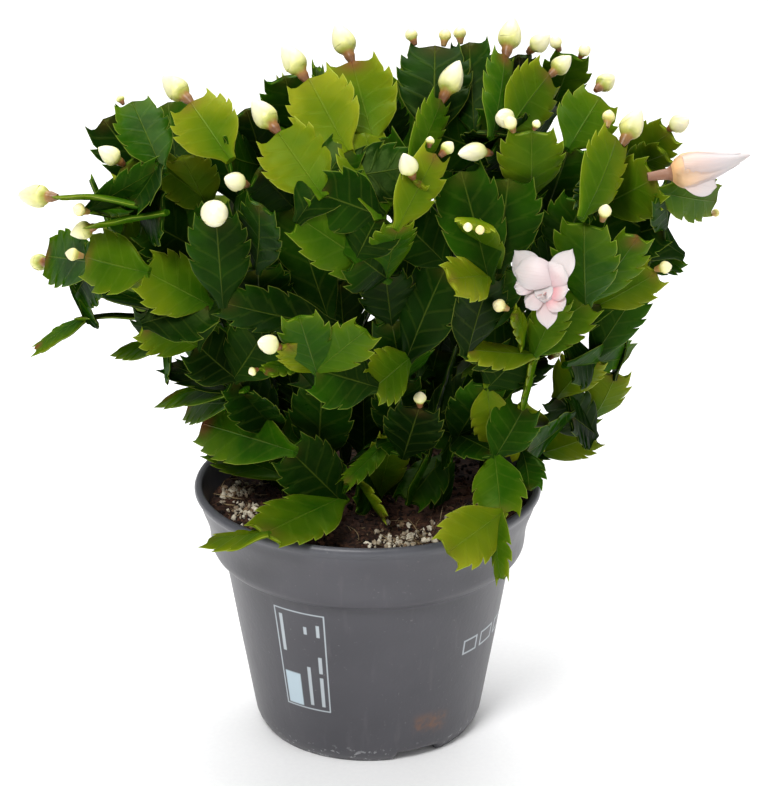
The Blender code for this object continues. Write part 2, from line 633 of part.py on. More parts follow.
def joined(body, operation, shapes):
    """Joins the closed shapes to the body, or cuts them from it, and keeps only the result."""
    helpers = bpy.data.collections.new("helpers")
    bpy.context.scene.collection.children.link(helpers)
    tools = [solid("helper", shape, where=helpers) for shape in shapes]
    for tool in tools:
        tool.hide_render = True
        tool.display_type = "WIRE"
    change = body.modifiers.new("shapes", "BOOLEAN")
    change.operation, change.solver = operation, "EXACT"
    change.operand_type, change.collection = "COLLECTION", helpers
    graph = bpy.context.evaluated_depsgraph_get()
    result = bpy.data.meshes.new_from_object(body.evaluated_get(graph))
    body.modifiers.clear()
    old, body.data = body.data, result
    bpy.data.meshes.remove(old)
    for tool in tools:
        bpy.data.meshes.remove(tool.data)
    bpy.data.collections.remove(helpers)
    result.name = body.name
    return body


def main():
    for thing in list(bpy.data.objects):
        bpy.data.objects.remove(thing)
    bpy.context.scene.unit_settings.system = "METRIC"

    plastic = material("pot_plastic", (0.125, 0.12, 0.13), 0.45)
    soil = material("potting_mix", (0.035, 0.018, 0.011), 0.95)
    green = material("stem_green", (0.075, 0.16, 0.018), 0.38)
    cream = material("bud_cream", (0.78, 0.74, 0.42), 0.5)
    petal = material("petal_white", (0.88, 0.76, 0.74), 0.5)

    plant = Plant()
    plant.grow()

    pot = solid("pot", turned(POT_OUTSIDE + POT_INSIDE, AROUND), plastic)
    notches = []
    for angle in DRAIN_ANGLES:
        turn = math.radians(angle)
        out, over = Vector((math.sin(turn), -math.cos(turn), 0)), Vector(
            (math.cos(turn), math.sin(turn), 0))
        points = [out * r + over * s + Vector((0, 0, z)) for z in (-2.0, DRAIN_H)
                  for r, s in ((33, -DRAIN_W / 2), (48, -DRAIN_W / 2), (48, DRAIN_W / 2),
                               (33, DRAIN_W / 2))]
        notches.append((points, [(3, 2, 1, 0), (4, 5, 6, 7), (0, 1, 5, 4), (1, 2, 6, 5),
                                 (2, 3, 7, 6), (3, 0, 4, 7)]))
    joined(pot, "DIFFERENCE", notches)

    mix = solid("potting_mix", mix_shape(), soil)
    rooted = [s for s in plant.segments if getattr(s, "root", False)]
    joined(mix, "DIFFERENCE", [s.plate(0.35) for s in rooted])

    for cutting, name in NAMES.items():
        plates = [s.plate() for s in plant.segments if s.cutting == cutting]
        joined(solid(name, plates[0], green), "UNION", plates[1:])

    blooms = {"F": "flower_front", "O": "flower_right"}
    count = 0
    for bud in plant.buds:
        if bud.size in blooms:
            shapes = flower_shapes(bud)
            joined(solid(blooms[bud.size], shapes[0], petal), "UNION", shapes[1:])
        else:
            count += 1
            solid(f"bud_{count:02d}", bud.spindle(), cream, smooth=True)


main()
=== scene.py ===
"""Looks of a Christmas cactus in bud, in its plastic nursery pot.

The plant is grown again by the same rules as the CAD part, in mm, so each stem segment and bud
stands where its solid does. Each segment then gets its teeth, midrib, bow and colour.
"""

import math
import random

import bpy
import numpy as np
from mathutils import Matrix, Vector
from mathutils.bvhtree import BVHTree


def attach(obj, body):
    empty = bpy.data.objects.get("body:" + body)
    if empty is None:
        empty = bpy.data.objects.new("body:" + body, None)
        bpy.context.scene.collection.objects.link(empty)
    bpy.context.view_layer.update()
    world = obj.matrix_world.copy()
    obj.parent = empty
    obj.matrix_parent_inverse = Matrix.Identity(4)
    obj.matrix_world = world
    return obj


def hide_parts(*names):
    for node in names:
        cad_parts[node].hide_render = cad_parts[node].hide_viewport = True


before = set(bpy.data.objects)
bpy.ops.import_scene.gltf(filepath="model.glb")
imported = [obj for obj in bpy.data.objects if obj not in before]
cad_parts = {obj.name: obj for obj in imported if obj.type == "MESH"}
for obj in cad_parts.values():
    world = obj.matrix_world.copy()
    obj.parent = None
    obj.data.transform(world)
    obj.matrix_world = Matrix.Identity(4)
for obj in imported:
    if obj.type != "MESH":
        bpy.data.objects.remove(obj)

MM = 0.001

# Pot, mm: (radius, height) round the outside from the foot to the lip, then down the inside.
RIM_R, POT_H, FOOT_R, FLOOR = 65.0, 98.0, 40.0, 2.0
POT_OUTSIDE = (
    (FOOT_R, 0), (43.4, 5), (54.2, 69), (57.2, 71.2), (59.2, 75), (59.9, 82),
    (62.4, 89), (63.7, 93.4), (RIM_R, 95.4), (64.6, 97.4), (63.3, POT_H),
)
POT_INSIDE = (
    (62.2, 97.0), (61.5, 94), (58.1, 82.5), (57.4, 76), (52.4, 69.5), (41.7, 5), (39.8, FLOOR),
)
DRAIN_ANGLES, DRAIN_W, DRAIN_H = (26, 146, 266), 17.0, 3.6

AROUND = 44

# Potting mix, mm: height at the wall, rise to the middle, gap at the wall and radius of the dome.
MIX_EDGE_Z, MIX_DOME, MIX_GAP, MIX_R = 87.5, 3.0, 0.35, 58.0

# Stem segments, mm: thickness, half width at the neck, how far the neck laps over the joint and
# the end stands past it, the room kept round each one, and the usual length of a step.
THICK, NECK, LAP, END, CLEAR, STEP = 2.0, 1.9, 3.2, 1.2, 0.45, 31.0
# The thicket: how many segments, its height in mm and the steps that spread them evenly in two
# directions. Then the grid that is searched for gaps in it, and how near its spots one counts.
THICKET, THICKET_H, GOLDEN, ASIDE = 60, 88.0, 0.618, 0.7549
GAP_STEP, BESIDE = 4.0, 1.6
# The far side: how many spots are spread over the dome, its foot and height in mm, and the turn
# from one spot to the next in degrees.
DOME_SPOTS, DOME_FOOT, DOME_H, GOLDEN_TURN = 120, 112.0, 138.0, 137.5
# Which way the front segments face, and where they are seen from, mm.
VIEW = Vector((0.0, -1.0, 0.38)).normalized()
EYE = Vector((0.0, -864.0, 465.0))
# Half width of the plant at each height, mm.
SPREAD = ((100, 135, 150, 170, 200, 225, 245, 265), (42, 62, 76, 90, 108, 108, 84, 50))

# Where each cutting stands in the mix, mm.
ROOTS = {
    "a": (-16, -8), "b": (4, 0), "c": (25, -4), "d": (40, 14),
    "e": (18, 30), "f": (-10, 32), "g": (-34, 14),
}
NAMES = {
    "a": "cutting_front_left", "b": "cutting_front", "c": "cutting_front_right",
    "d": "cutting_right", "e": "cutting_rear_right", "f": "cutting_rear_left",
    "g": "cutting_left",
}

# Bud sizes, mm: length, radius. R and X are a round one and a long curved one.
BUDS = {"L": (14.0, 3.7), "M": (9.8, 2.9), "S": (5.6, 2.1), "T": (3.4, 1.4), "R": (10.0, 4.1),
        "X": (16.0, 2.8), "F": (25.0, 17.5), "O": (30.0, 7.0)}
BUD_SIDES, CURVED_BEND = 6, -0.16
# Outline of a bud as (share of its length, share of its radius). F and O are the room that the
# open flower and the opening one take up.
SPINDLES = {
    "S": ((0.0, 0.5), (0.2, 0.62), (0.45, 1.05), (0.8, 0.66)),
    "F": ((0.0, 0.1), (0.4, 0.25), (0.64, 0.5), (0.76, 1.0), (0.95, 1.0)),
    "O": ((0.0, 0.25), (0.12, 0.3), (0.22, 0.75), (0.42, 1.0), (0.9, 0.6)),
}
# Which way the two flowers point.
AIMS = {"F": (-0.33, -0.85, 0.41), "O": (1.0, 0.05, 0.13)}

# The segments seen from the front: cutting, joints in mm from base to tip, width in mm, roll of
# the flat side away from the front in degrees, age of each segment (y young, m middle, o old,
# p pale underside), then buds at the tip as (size, mm off the middle, lean from upright in
# degrees, or None for a bud that points forward). Three low segments of cutting d are marked y
# though they are of middle age, so that they are painted lighter where they face away from the
# lights.
SHOOTS = (
    ("a", ((-26, -45, 218), (-36, -63, 235)), 22, 10, "o", ("M", -3, -96)),
    ("a", ((-67, -39, 215), (-82, -51, 233)), 23, 5, "m", ("M", 1, -51)),
    ("a", ((-60, -37, 214), (-71, -51, 234)), 16, 30, "m"),
    ("a", ((-55, -34, 215), (-62, -49, 236)), 18, -12, "y"),
    ("a", ((-68, -67, 222), (-91, -52, 213)), 17, 48, "m", ("M", 0, -112)),
    ("a", ((-57, -39, 199), (-76, -49, 214)), 24, 12, "o"),
    ("a", ((-70, -28, 192), (-84, -45, 207)), 19, 30, "m"),
    ("a", ((-55, -52, 185), (-75, -59, 199), (-96, -46, 200)), 23, 5, "my", ("S", 0, None)),
    ("a", ((-76, -28, 175), (-102, 16, 169)), 20, 70, "o"),
    ("a", ((-60, -34, 172), (-76, -55, 179)), 20, -15, "y"),
    ("a", ((-70, -28, 161), (-91, 10, 146)), 16, 60, "m"),
    ("a", ((-54, -31, 152), (-72, -11, 147)), 16, 50, "o"),
    ("a", ((-45, -33, 146), (-75, 10, 126)), 18, 60, "m"),
    ("a", ((-34, -33, 127), (-61, 2, 119)), 24, 10, "m"),
    ("a", ((-33, -17, 124), (-47, -37, 152), (-60, -38, 165)), 22, 20, "oo"),
    ("a", ((-25, -1, 108), (-16, -33, 147), (-13, -50, 177)), 24, 5, "oo"),
    ("a", ((-37, -40, 169), (-37, -59, 200)), 24, 10, "o"),
    ("a", ((-49, -61, 189), (-50, -71, 222)), 22, 0, "o", ("R", 0, None)),
    ("a", ((-25, -59, 208), (-35, -76, 227)), 19, 5, "o"),
    ("a", ((-10, -28, 101), (-28, -36, 124)), 24, 5, "o"),
    ("a", ((-8, -34, 102), (-36, -58, 101)), 25, 2, "m"),
    ("a", ((-34, -62, 101), (-56, -52, 96)), 15, 66, "y"),
    ("b", ((-23, -54, 162), (-34, -74, 168)), 10, 60, "m", ("T", 0, -110)),
    ("b", ((-7, -75, 202), (-22, -83, 225)), 21, 5, "m"),
    ("b", ((-3, -77, 210), (-13, -71, 234)), 24, 0, "o"),
    ("b", ((-15, -78, 232), (-29, -63, 248)), 24, 0, "y", ("L", 0, -76)),
    ("b", ((4, -79, 225), (-1, -61, 247)), 25, 5, "m"),
    ("b", ((2, -59, 245), (-5, -39, 266)), 26, 8, "y", ("L", 0, -33)),
    ("b", ((-7, -69, 245), (-19, -51, 263)), 24, 0, "y", ("L", -1, -36)),
    ("b", ((9, -18, 122), (12, -42, 153), (8, -56, 180), (6, -68, 200)), 20, 12, "ooo"),
    ("b", ((5, -78, 203), (10, -87, 224), (22, -72, 243)), 16, 24, "my",
     ("S", 2, 50), ("T", -3, 0)),
    ("b", ((14, -72, 239), (24, -55, 257)), 14, 38, "m", ("L", 1, 25)),
    ("b", ((13, -33, 121), (18, -46, 144)), 22, 0, "o", ("S", 0, 0)),
    ("b", ((-17, -82, 172), (-22, -95, 195)), 18, -8, "m"),
    ("b", ((-17, -82, 172), (-1, -94, 190)), 17, 15, "m"),
    ("b", ((14, -57, 167), (2, -77, 164)), 20, -20, "m"),
    ("b", ((-3, -26, 108), (6, -38, 99)), 10, 70, "y"),
    ("b", ((4, -14, 97), (9, -26, 125)), 16, 5, "y"),
    ("b", ((2, -30, 123), (-8, -38, 112)), 9, 70, "m"),
    ("b", ((25, -51, 173), (27, -67, 204)), 22, -5, "o"),
    ("b", ((-17, -71, 168), (-26, -90, 184)), 14, -20, "y", ("M", 0, -90)),
    ("b", ((10, -60, 219), (17, -80, 236)), 10, 10, "y", ("M", 0, -20)),
    ("c", ((32, -71, 208), (31, -65, 235)), 24, 0, "o"),
    ("c", ((32, -62, 204), (34, -76, 221), (35, -94, 225)), 14, -45, "my",
     ("T", -3, None), ("T", 1, None)),
    ("c", ((51, -58, 204), (47, -63, 232)), 26, 5, "o"),
    ("c", ((55, -55, 225), (54, -66, 249)), 23, 0, "y", ("S", -6, -45), ("T", 1, 20)),
    ("c", ((40, -73, 201), (27, -93, 207)), 18, 25, "y"),
    ("c", ((47, -54, 175), (33, -75, 176)), 13, 40, "y"),
    ("c", ((32, -26, 125), (42, -46, 152), (53, -50, 166), (75, -53, 186)), 20, 22, "oom"),
    ("c", ((74, -59, 188), (72, -72, 219)), 24, 4, "m", ("S", 6, 12)),
    ("c", ((75, -64, 190), (90, -66, 213)), 18, 24, "m"),
    ("c", ((82, -27, 176), (100, -38, 191)), 17, 15, "y", ("S", -1, 95)),
    ("c", ((45, -44, 147), (57, -56, 167)), 16, 76, "p"),
    ("c", ((41, -52, 152), (45, -34, 126)), 15, 10, "y"),
    ("c", ((55, -40, 142), (60, 0, 107)), 20, -5, "y"),
    ("c", ((45, -46, 126), (47, -56, 108)), 20, 5, "m"),
    ("c", ((47, -58, 109), (28, -71, 100)), 22, 5, "y"),
    ("c", ((48, -58, 109), (47, -71, 90)), 12, 55, "y"),
    ("c", ((30, -14, 100), (15, -22, 98)), 18, 30, "o"),
    ("c", ((36, -48, 171), (44, -64, 202)), 22, 10, "o"),
    ("c", ((57, -53, 178), (49, -73, 188)), 10, 60, "m", ("S", 0, -60)),
    ("c", ((62, -44, 171), (65, -63, 190)), 14, 10, "m", ("F", 0, None)),
    ("d", ((56, -57, 243), (79, -33, 252)), 26, 5, "m", ("M", -3, 14)),
    ("d", ((62, -41, 216), (68, -50, 240)), 22, 0, "o"),
    ("d", ((71, -75, 224), (83, -51, 243)), 20, 22, "y", ("S", -5, -8), ("L", 4, 38)),
    ("d", ((91, -11, 223), (104, -29, 239)), 18, 8, "m", ("M", -1, 98)),
    ("d", ((91, -14, 222), (102, -34, 233)), 14, 30, "m"),
    ("d", ((80, -37, 215), (97, -51, 229)), 24, 5, "m", ("O", 0, 88)),
    ("d", ((99, -50, 224), (121, -27, 214)), 18, 20, "y", ("T", -5, 40)),
    ("d", ((85, -26, 199), (102, -43, 210)), 20, 5, "o"),
    ("d", ((98, -7, 184), (109, -28, 195)), 16, 20, "o"),
    ("d", ((80, -17, 160), (96, -26, 182)), 18, 45, "o"),
    ("d", ((71, -37, 157), (96, 4, 145)), 18, 48, "m"),
    # Painted light: the rows at (70, -3, 132), (66, 24, 98) and (68, 28, 101) are marked y, young
    # and lighter, though these segments are of middle age. This lightens them where they face away
    # from the lights and sit in shade.
    ("d", ((70, -3, 132), (81, -19, 153)), 18, 10, "y"),
    ("d", ((75, 18, 121), (92, 6, 137)), 18, 20, "y"),
    ("d", ((66, 24, 98), (85, 10, 111)), 17, 18, "y"),
    ("d", ((68, 28, 101), (85, 14, 117)), 12, 74, "y"),
    ("d", ((56, -36, 123), (58, -44, 112)), 14, 30, "o"),
    ("e", ((22, -58, 247), (23, -34, 270)), 26, 0, "o", ("S", -2, -30), ("S", 3, 12)),
    ("e", ((36, -51, 246), (35, -25, 269)), 20, -10, "o", ("S", -3, -5)),
    ("e", ((41, -62, 248), (46, -38, 268)), 14, 35, "m", ("L", 1, 15)),
    ("e", ((47, -56, 248), (61, -36, 261)), 22, 5, "m", ("M", 1, 55)),
    ("e", ((55, -5, 243), (52, -22, 264)), 14, 0, "o", ("M", 1, 45)),
    ("e", ((67, 3, 242), (71, -13, 262)), 18, 0, "m", ("S", -2, -25), ("S", 3, 40)),
    ("e", ((66, -45, 201), (72, -58, 223)), 22, 5, "o"),
    ("e", ((54, -46, 237), (44, -66, 247)), 24, 0, "o", ("X", -6, -80), ("M", 2, -95)),
    ("f", ((-46, -62, 240), (-59, -43, 253)), 23, 0, "y", ("L", 0, -66)),
    ("f", ((-36, -25, 226), (-41, -37, 249)), 20, 15, "o"),
    ("f", ((-23, -14, 236), (-28, -27, 258)), 22, 0, "o"),
    ("f", ((9, -21, 231), (6, -37, 251)), 16, 0, "o", ("T", 2, 25)),
    ("g", ((-69, -57, 235), (-80, -31, 250)), 19, 10, "m", ("T", -6, -35)),
    ("g", ((-64, -49, 232), (-68, -28, 249)), 22, -10, "o"),
    ("g", ((-78, -58, 222), (-104, -39, 219)), 14, 62, "m", ("L", 0, -93)),
    ("g", ((-81, -34, 213), (-95, -54, 219)), 14, 72, "m", ("S", 2, -60)),
    ("g", ((-92, -41, 196), (-117, 10, 182)), 22, 0, "m", ("M", -2, -105)),
    ("g", ((-79, -19, 168), (-104, 10, 158), (-123, 10, 146)), 14, 84, "mm"),
    ("g", ((-51, -16, 134), (-67, 14, 121)), 17, 20, "m"),
    ("g", ((-30, -10, 102), (-58, 10, 105)), 18, 52, "p"),
)


class Segment:
    """One flat stem segment from joint to joint, with its width, flat side and age."""

    def __init__(self, cutting, base, tip, width, roll, age, look=VIEW):
        self.cutting, self.base, self.tip = cutting, Vector(base), Vector(tip)
        self.width, self.roll, self.age, self.look = width, roll, age, look
        self.buds, self.carries, self.rooted = [], 0, False

    def frame(self):
        """Direction, sideways and flat-side unit vectors. The flat side turns to the look."""
        along = (self.tip - self.base).normalized()
        flat = self.look - along * self.look.dot(along)
        if flat.length < 0.15:
            upward = Vector((0.2, 0.1, 1.0))
            flat = upward - along * along.dot(upward)
        flat = Matrix.Rotation(math.radians(self.roll), 3, along) @ flat.normalized()
        return along, flat.cross(along), flat

    def plate(self, grow=0.0):
        """Corners and faces of the segment as a flat plate, made larger all round by grow."""
        along, side, flat = self.frame()
        length, half = (self.tip - self.base).length, self.width / 2
        outline = ((-LAP - grow, NECK + grow), (0.52 * length, half + grow),
                   (length + END + grow, 0.58 * half + grow))
        ring = [(a, -s) for a, s in outline] + [(a, s) for a, s in reversed(outline)]
        deep = flat * (THICK / 2 + grow)
        points = [self.base + along * a + side * s + deep * turn
                  for turn in (-1, 1) for a, s in ring]
        count = len(ring)
        faces = [tuple(range(count - 1, -1, -1)), tuple(range(count, 2 * count))]
        faces += [(i, (i + 1) % count, (i + 1) % count + count, i + count)
                  for i in range(count)]
        return points, faces


class Bud:
    """A closed bud: a spindle from its foot along an axis."""

    def __init__(self, size, foot, axis, cutting):
        self.size, self.foot, self.axis, self.cutting = size, foot, axis.normalized(), cutting

    def spindle(self, grow=0.0):
        """Corners and faces of rings round the axis, pointed at both ends, made larger by grow.
        A curved bud bends as the square of the way along it."""
        length, radius = BUDS[self.size]
        bend = CURVED_BEND * length if self.size == "X" else 0.0
        rings = [(t * length, r * radius) for t, r in SPINDLES.get(self.size, SPINDLES["S"])]
        side = self.axis.orthogonal().normalized()
        over = self.axis.cross(side)
        points = [self.foot - self.axis * grow]
        for reach, wide in rings:
            middle = self.foot + self.axis * reach + Vector((0, 0, bend * (reach / length) ** 2))
            for k in range(BUD_SIDES):
                turn = 2 * math.pi * k / BUD_SIDES
                points.append(middle + (side * math.cos(turn) + over * math.sin(turn))
                              * (wide + grow))
        points.append(self.foot + self.axis * (length + grow) + Vector((0, 0, bend)))
        last = len(points) - 1
        around = [(k, (k + 1) % BUD_SIDES) for k in range(BUD_SIDES)]
        faces = [(0, 1 + j, 1 + i) for i, j in around]
        for row in range(len(rings) - 1):
            low = 1 + row * BUD_SIDES
            faces += [(low + i, low + j, low + BUD_SIDES + j, low + BUD_SIDES + i)
                      for i, j in around]
        low = last - BUD_SIDES
        faces += [(low + i, low + j, last) for i, j in around]
        return points, faces


def turned(profile):
    """Corners and faces of a profile of (radius, height) turned about z, in mm, and closed by a
    disc at each end."""
    points, faces = [], []
    for r, z in profile:
        for k in range(AROUND):
            turn = 2 * math.pi * (k + 0.5) / AROUND
            points.append(Vector((r * math.sin(turn), -r * math.cos(turn), z)))
    top = (len(profile) - 1) * AROUND
    for low in range(0, top, AROUND):
        for k in range(AROUND):
            a, b = low + k, low + (k + 1) % AROUND
            faces.append((a, b, b + AROUND, a + AROUND))
    faces += [tuple(range(AROUND - 1, -1, -1)), tuple(range(top, top + AROUND))]
    return points, faces


def mix_height(x, y):
    """Height of the potting mix, a low uneven dome, in mm."""
    reach = min(1.0, math.hypot(x, y) / MIX_R)
    ripple = 0.7 * math.sin(0.16 * x + 1.0) * math.cos(0.13 * y) * (1 - reach**4)
    return MIX_EDGE_Z + MIX_DOME * (1 - reach**2) + ripple


def mix_shape():
    """The potting mix: the inside of the pot up to its dome."""
    sides = [(r - MIX_GAP, z) for r, z in reversed(POT_INSIDE) if z < MIX_EDGE_Z - 1]
    sides[0] = (sides[0][0], FLOOR + MIX_GAP)
    rim = float(np.interp(MIX_EDGE_Z, *zip(*((z, r) for r, z in reversed(POT_INSIDE)))))
    sides.append((rim - MIX_GAP - 0.6, MIX_EDGE_Z))
    points, faces = turned(sides + [(r, 0.0) for r in (44.0, 28.0, 11.0)])
    for point in points[len(sides) * AROUND:]:
        point.z = mix_height(point.x, point.y)
    return points, faces


class Plant:
    """Places segments and buds one after another, each clear of all that stands before it."""

    def __init__(self):
        self.segments, self.buds, self.trees = [], [], []
        self.random = random.Random(33)
        self.joints, self.apart = {}, False
        self.block("pot", *turned(POT_OUTSIDE + POT_INSIDE))
        self.block("mix", *mix_shape())

    def block(self, owner, points, faces):
        """Keeps the shape as one that later ones have to be clear of."""
        centre = sum(points, Vector()) / len(points)
        radius = max((p - centre).length for p in points)
        entry = [owner, BVHTree.FromPolygons(points, faces), centre, radius]
        self.trees.append(entry)
        return entry

    def clear(self, points, faces, skip=(), cutting=None):
        """True where the shape meets nothing placed so far. Shapes of the same cutting count
        only where cutting isn't given."""
        if "mix" not in skip and any(
                p.z < mix_height(p.x, p.y) + 0.4 and math.hypot(p.x, p.y) < RIM_R for p in points):
            return False
        centre = sum(points, Vector()) / len(points)
        radius = max((p - centre).length for p in points)
        tree = BVHTree.FromPolygons(points, faces)
        for owner, other, middle, reach in self.trees:
            if owner in skip or (isinstance(owner, Segment) and owner.cutting == cutting):
                continue
            if (middle - centre).length < radius + reach and tree.overlap(other):
                return False
        return True

    def settle(self, segment, skip=(), rolls=(0, 12, -12, 24, -24, 38, -38), widths=(1, 0.85)):
        """Turns or narrows the segment until it's clear. Its own cutting is avoided first, and
        may be met after that, unless all is kept apart."""
        roll, width = segment.roll, segment.width
        for cutting in (None,) if self.apart else (None, segment.cutting):
            for scale in widths:
                for turn in rolls:
                    segment.roll, segment.width = roll + turn, width * scale
                    if self.clear(*segment.plate(CLEAR), skip=skip, cutting=cutting):
                        return True
        segment.roll, segment.width = roll, width
        return False

    def add(self, segment):
        """Keeps the segment, so that later shapes are clear of it."""
        self.segments.append(segment)
        segment.entry = self.block(segment, *segment.plate())

    def remove(self, segment):
        """Takes the segment away again, with its buds."""
        self.segments.remove(segment)
        self.trees.remove(segment.entry)
        for bud in segment.buds:
            self.buds.remove(bud)
            self.trees.remove(bud.entry)

    def place_shoot(self, cutting, joints, width, roll, ages, buds=(), look=VIEW):
        """Puts a string of segments down, or moves it a little nearer or farther from the eye
        so that it's clear. Returns its segments, or none where there's no room."""
        for push in (0, 4, -4, 8, -8, 12, -12, 17, 22):
            moved = [Vector(j) + (Vector(j) - EYE).normalized() * push for j in joints]
            made = []
            for i in range(len(moved) - 1):
                turn = roll if len(ages) == 1 else roll * (1 - 0.25 * i)
                segment = Segment(cutting, moved[i], moved[i + 1], width, turn, ages[i], look)
                if not self.settle(segment, skip=tuple(made[-1:])):
                    break
                self.add(segment)
                made.append(segment)
            if len(made) == len(joints) - 1:
                for size, off, lean in buds:
                    self.place_bud(made[-1], size, off, lean)
                return made
            for segment in reversed(made):
                self.remove(segment)
        return []

    def place_bud(self, segment, size, off, lean):
        """Sets a bud just clear of the segment's tip, or none where there's no room."""
        along, side, _ = segment.frame()
        if side.x < 0:
            side = -side
        if size in AIMS:
            aim = Vector(AIMS[size]).normalized()
        elif lean is None:
            aim = Vector((0, -1.0, 0.25)).normalized()
        else:
            aim = Vector((math.sin(math.radians(lean)), along.y * 0.5,
                          math.cos(math.radians(lean)))).normalized()
        for step in range(20):
            blend = 0.3 * (step % 4)
            lift = (0.5, 0.8, 1.2, 1.6, 2.2)[step // 4] + (1.6 if size == "O" else 0.0)
            for slide in (0, -3, 3, -5, 5):
                axis = (aim * (1 - blend) + along * blend).normalized()
                foot = segment.tip + along * (END + lift) + side * (off + slide)
                if lean is None:
                    foot += aim * 1.2
                bud = Bud(size, foot, axis, segment.cutting)
                if abs(off + slide) <= 0.3 * segment.width and self.clear(*bud.spindle(0.35)):
                    self.buds.append(bud)
                    segment.buds.append(bud)
                    bud.entry = self.block(bud, *bud.spindle())
                    return

    def root(self, cutting):
        """The first segment of a cutting, planted in the mix."""
        x, y = ROOTS[cutting]
        base = Vector((x, y, mix_height(x, y) - 8))
        out = Vector((x, y, 0)) * 0.12
        tip = base + Vector((out.x, out.y, 24)).normalized() * 27
        look = Vector((x, y - 25, 12)).normalized()
        segment = Segment(cutting, base, tip, 17, 15, "o", look)
        segment.rooted = True
        rolls = tuple(range(0, 180, 15))
        if not self.settle(segment, skip=("mix",), rolls=rolls, widths=(1, 0.85, 0.7, 0.5)):
            raise ValueError("no room for the root of " + cutting)
        self.add(segment)
        segment.reach = 27.0
        self.joints[cutting] = [segment]

    def connect(self, shoot):
        """Carries a string of segments down to its cutting, along a gentle arch."""
        first, cutting, start = shoot[0], shoot[0].cutting, shoot[0].base.copy()
        heading = (first.tip - first.base).normalized()

        def cost(parent):
            gap = (parent.tip - start).length
            over = max(0.0, parent.tip.z - start.z + 6)
            ahead = max(0.0, start.y - parent.tip.y)
            taken = 11 * parent.carries + 40 * bool(parent.buds)
            return gap + 0.35 * parent.reach + taken + 1.5 * over + 0.8 * ahead

        parents, trials = (5, 4) if self.apart else (14, 9)
        for parent in sorted(self.joints[cutting], key=cost)[:parents]:
            gap = (parent.tip - start).length
            if gap < 15:
                self.trees.remove(first.entry)
                old = first.base.copy()
                first.base = parent.tip.copy()
                if (first.tip - first.base).length > 14 and self.settle(first, skip=(parent,)):
                    first.entry = self.block(first, *first.plate())
                    self.join(parent, shoot)
                    return True
                first.base = old
                self.trees.append(first.entry)
                continue
            for trial in range(trials):
                sway = Vector([self.random.uniform(-1, 1) for _ in range(3)]) * (2.2 * trial)
                rise = (parent.tip - parent.base).normalized()
                one = parent.tip + (rise + Vector((0, 0, 0.4))) * gap * 0.3 + sway
                two = start - heading * gap * 0.3 + sway
                count = max(1, round(gap / STEP))
                stops = []
                for k in range(count + 1):
                    t = k / count
                    stops.append(parent.tip * (1 - t) ** 3 + one * 3 * t * (1 - t) ** 2
                                 + two * 3 * t * t * (1 - t) + start * t**3)
                made, last = [], parent
                for k in range(count):
                    out = Vector((stops[k].x, stops[k].y - 30, 20)).normalized()
                    width = self.random.uniform(19, 24) if trial < 5 else 11
                    segment = Segment(cutting, stops[k], stops[k + 1], width,
                                      self.random.uniform(-25, 25), "o", look=out)
                    skip = (last, first) if k == count - 1 else (last,)
                    if not self.settle(segment, skip=skip, widths=(1, 0.8, 0.6),
                                       rolls=(0, 20, -20, 40, -40, 65, -65, 90)):
                        break
                    self.add(segment)
                    made.append(segment)
                    last = segment
                if len(made) == count:
                    self.join(parent, made + shoot)
                    return True
                for segment in reversed(made):
                    self.remove(segment)
        for segment in reversed(shoot):
            self.remove(segment)
        return False

    def join(self, parent, string):
        """Hangs the string on the parent, each segment on the one before it."""
        for segment in string:
            segment.reach = parent.reach + (segment.tip - segment.base).length
            self.joints[segment.cutting].append(segment)
            parent.carries += 1
            parent = segment

    def nearest(self, x, y, among):
        """The cutting whose foot, moved out to twice its distance, is nearest to the spot."""
        return min(among, key=lambda c: math.hypot(ROOTS[c][0] * 2 - x, ROOTS[c][1] * 2 - y))

    def grow(self):
        """Roots, then the front segments, joined up nearest first, the far side and the thicket.
        A front segment that its own cutting can't carry goes to the nearest one that can."""
        for cutting in ROOTS:
            self.root(cutting)
        front = []
        for row in SHOOTS:
            made = self.place_shoot(*row[:5], row[5:])
            if made:
                front.append((made, row))
        front.sort(key=lambda f: (f[0][0].base - Vector((*ROOTS[f[1][0]], 90))).length)
        left = [row for made, row in front if not self.connect(made)]
        for row in left:
            near = Vector(row[1][0][:2])
            for cutting in sorted(ROOTS, key=lambda c: (Vector(ROOTS[c]) - near).length):
                made = self.place_shoot(cutting, *row[1:5], row[5:])
                if made and self.connect(made):
                    break
        self.fill()
        self.thicken()

    def seen_through(self, spot):
        """True where the eye would see past everything at the spot, or just beside it."""
        way = (spot - EYE).normalized()
        near = []
        for _, tree, middle, reach in self.trees:
            off = middle - EYE
            if (off - way * off.dot(way)).length < reach + 2 * BESIDE:
                near.append(tree)
        for x, z in ((0, 0), (BESIDE, 0), (-BESIDE, 0), (0, BESIDE), (0, -BESIDE)):
            way = (spot + Vector((x, 0, z)) - EYE).normalized()
            if not any(tree.ray_cast(EYE, way)[0] for tree in near):
                return True
        return False

    def stand(self, spot, width, roll, age, cutting):
        """An old segment of the cutting with its middle at the spot."""
        heading = Vector((spot.x / 120, 0.1, 1.0)).normalized()
        half = 14 if width > 15 else 10
        made = self.place_shoot(cutting, (spot - heading * half, spot + heading * half), width,
                                roll, age)
        return bool(made) and self.connect(made)

    def nearest_few(self, spot):
        """The three cuttings nearest to the spot."""
        return sorted("bcdefg", key=lambda c: math.hypot(ROOTS[c][0] * 2 - spot.x,
                                                         ROOTS[c][1] * 2 - spot.y))[:3]

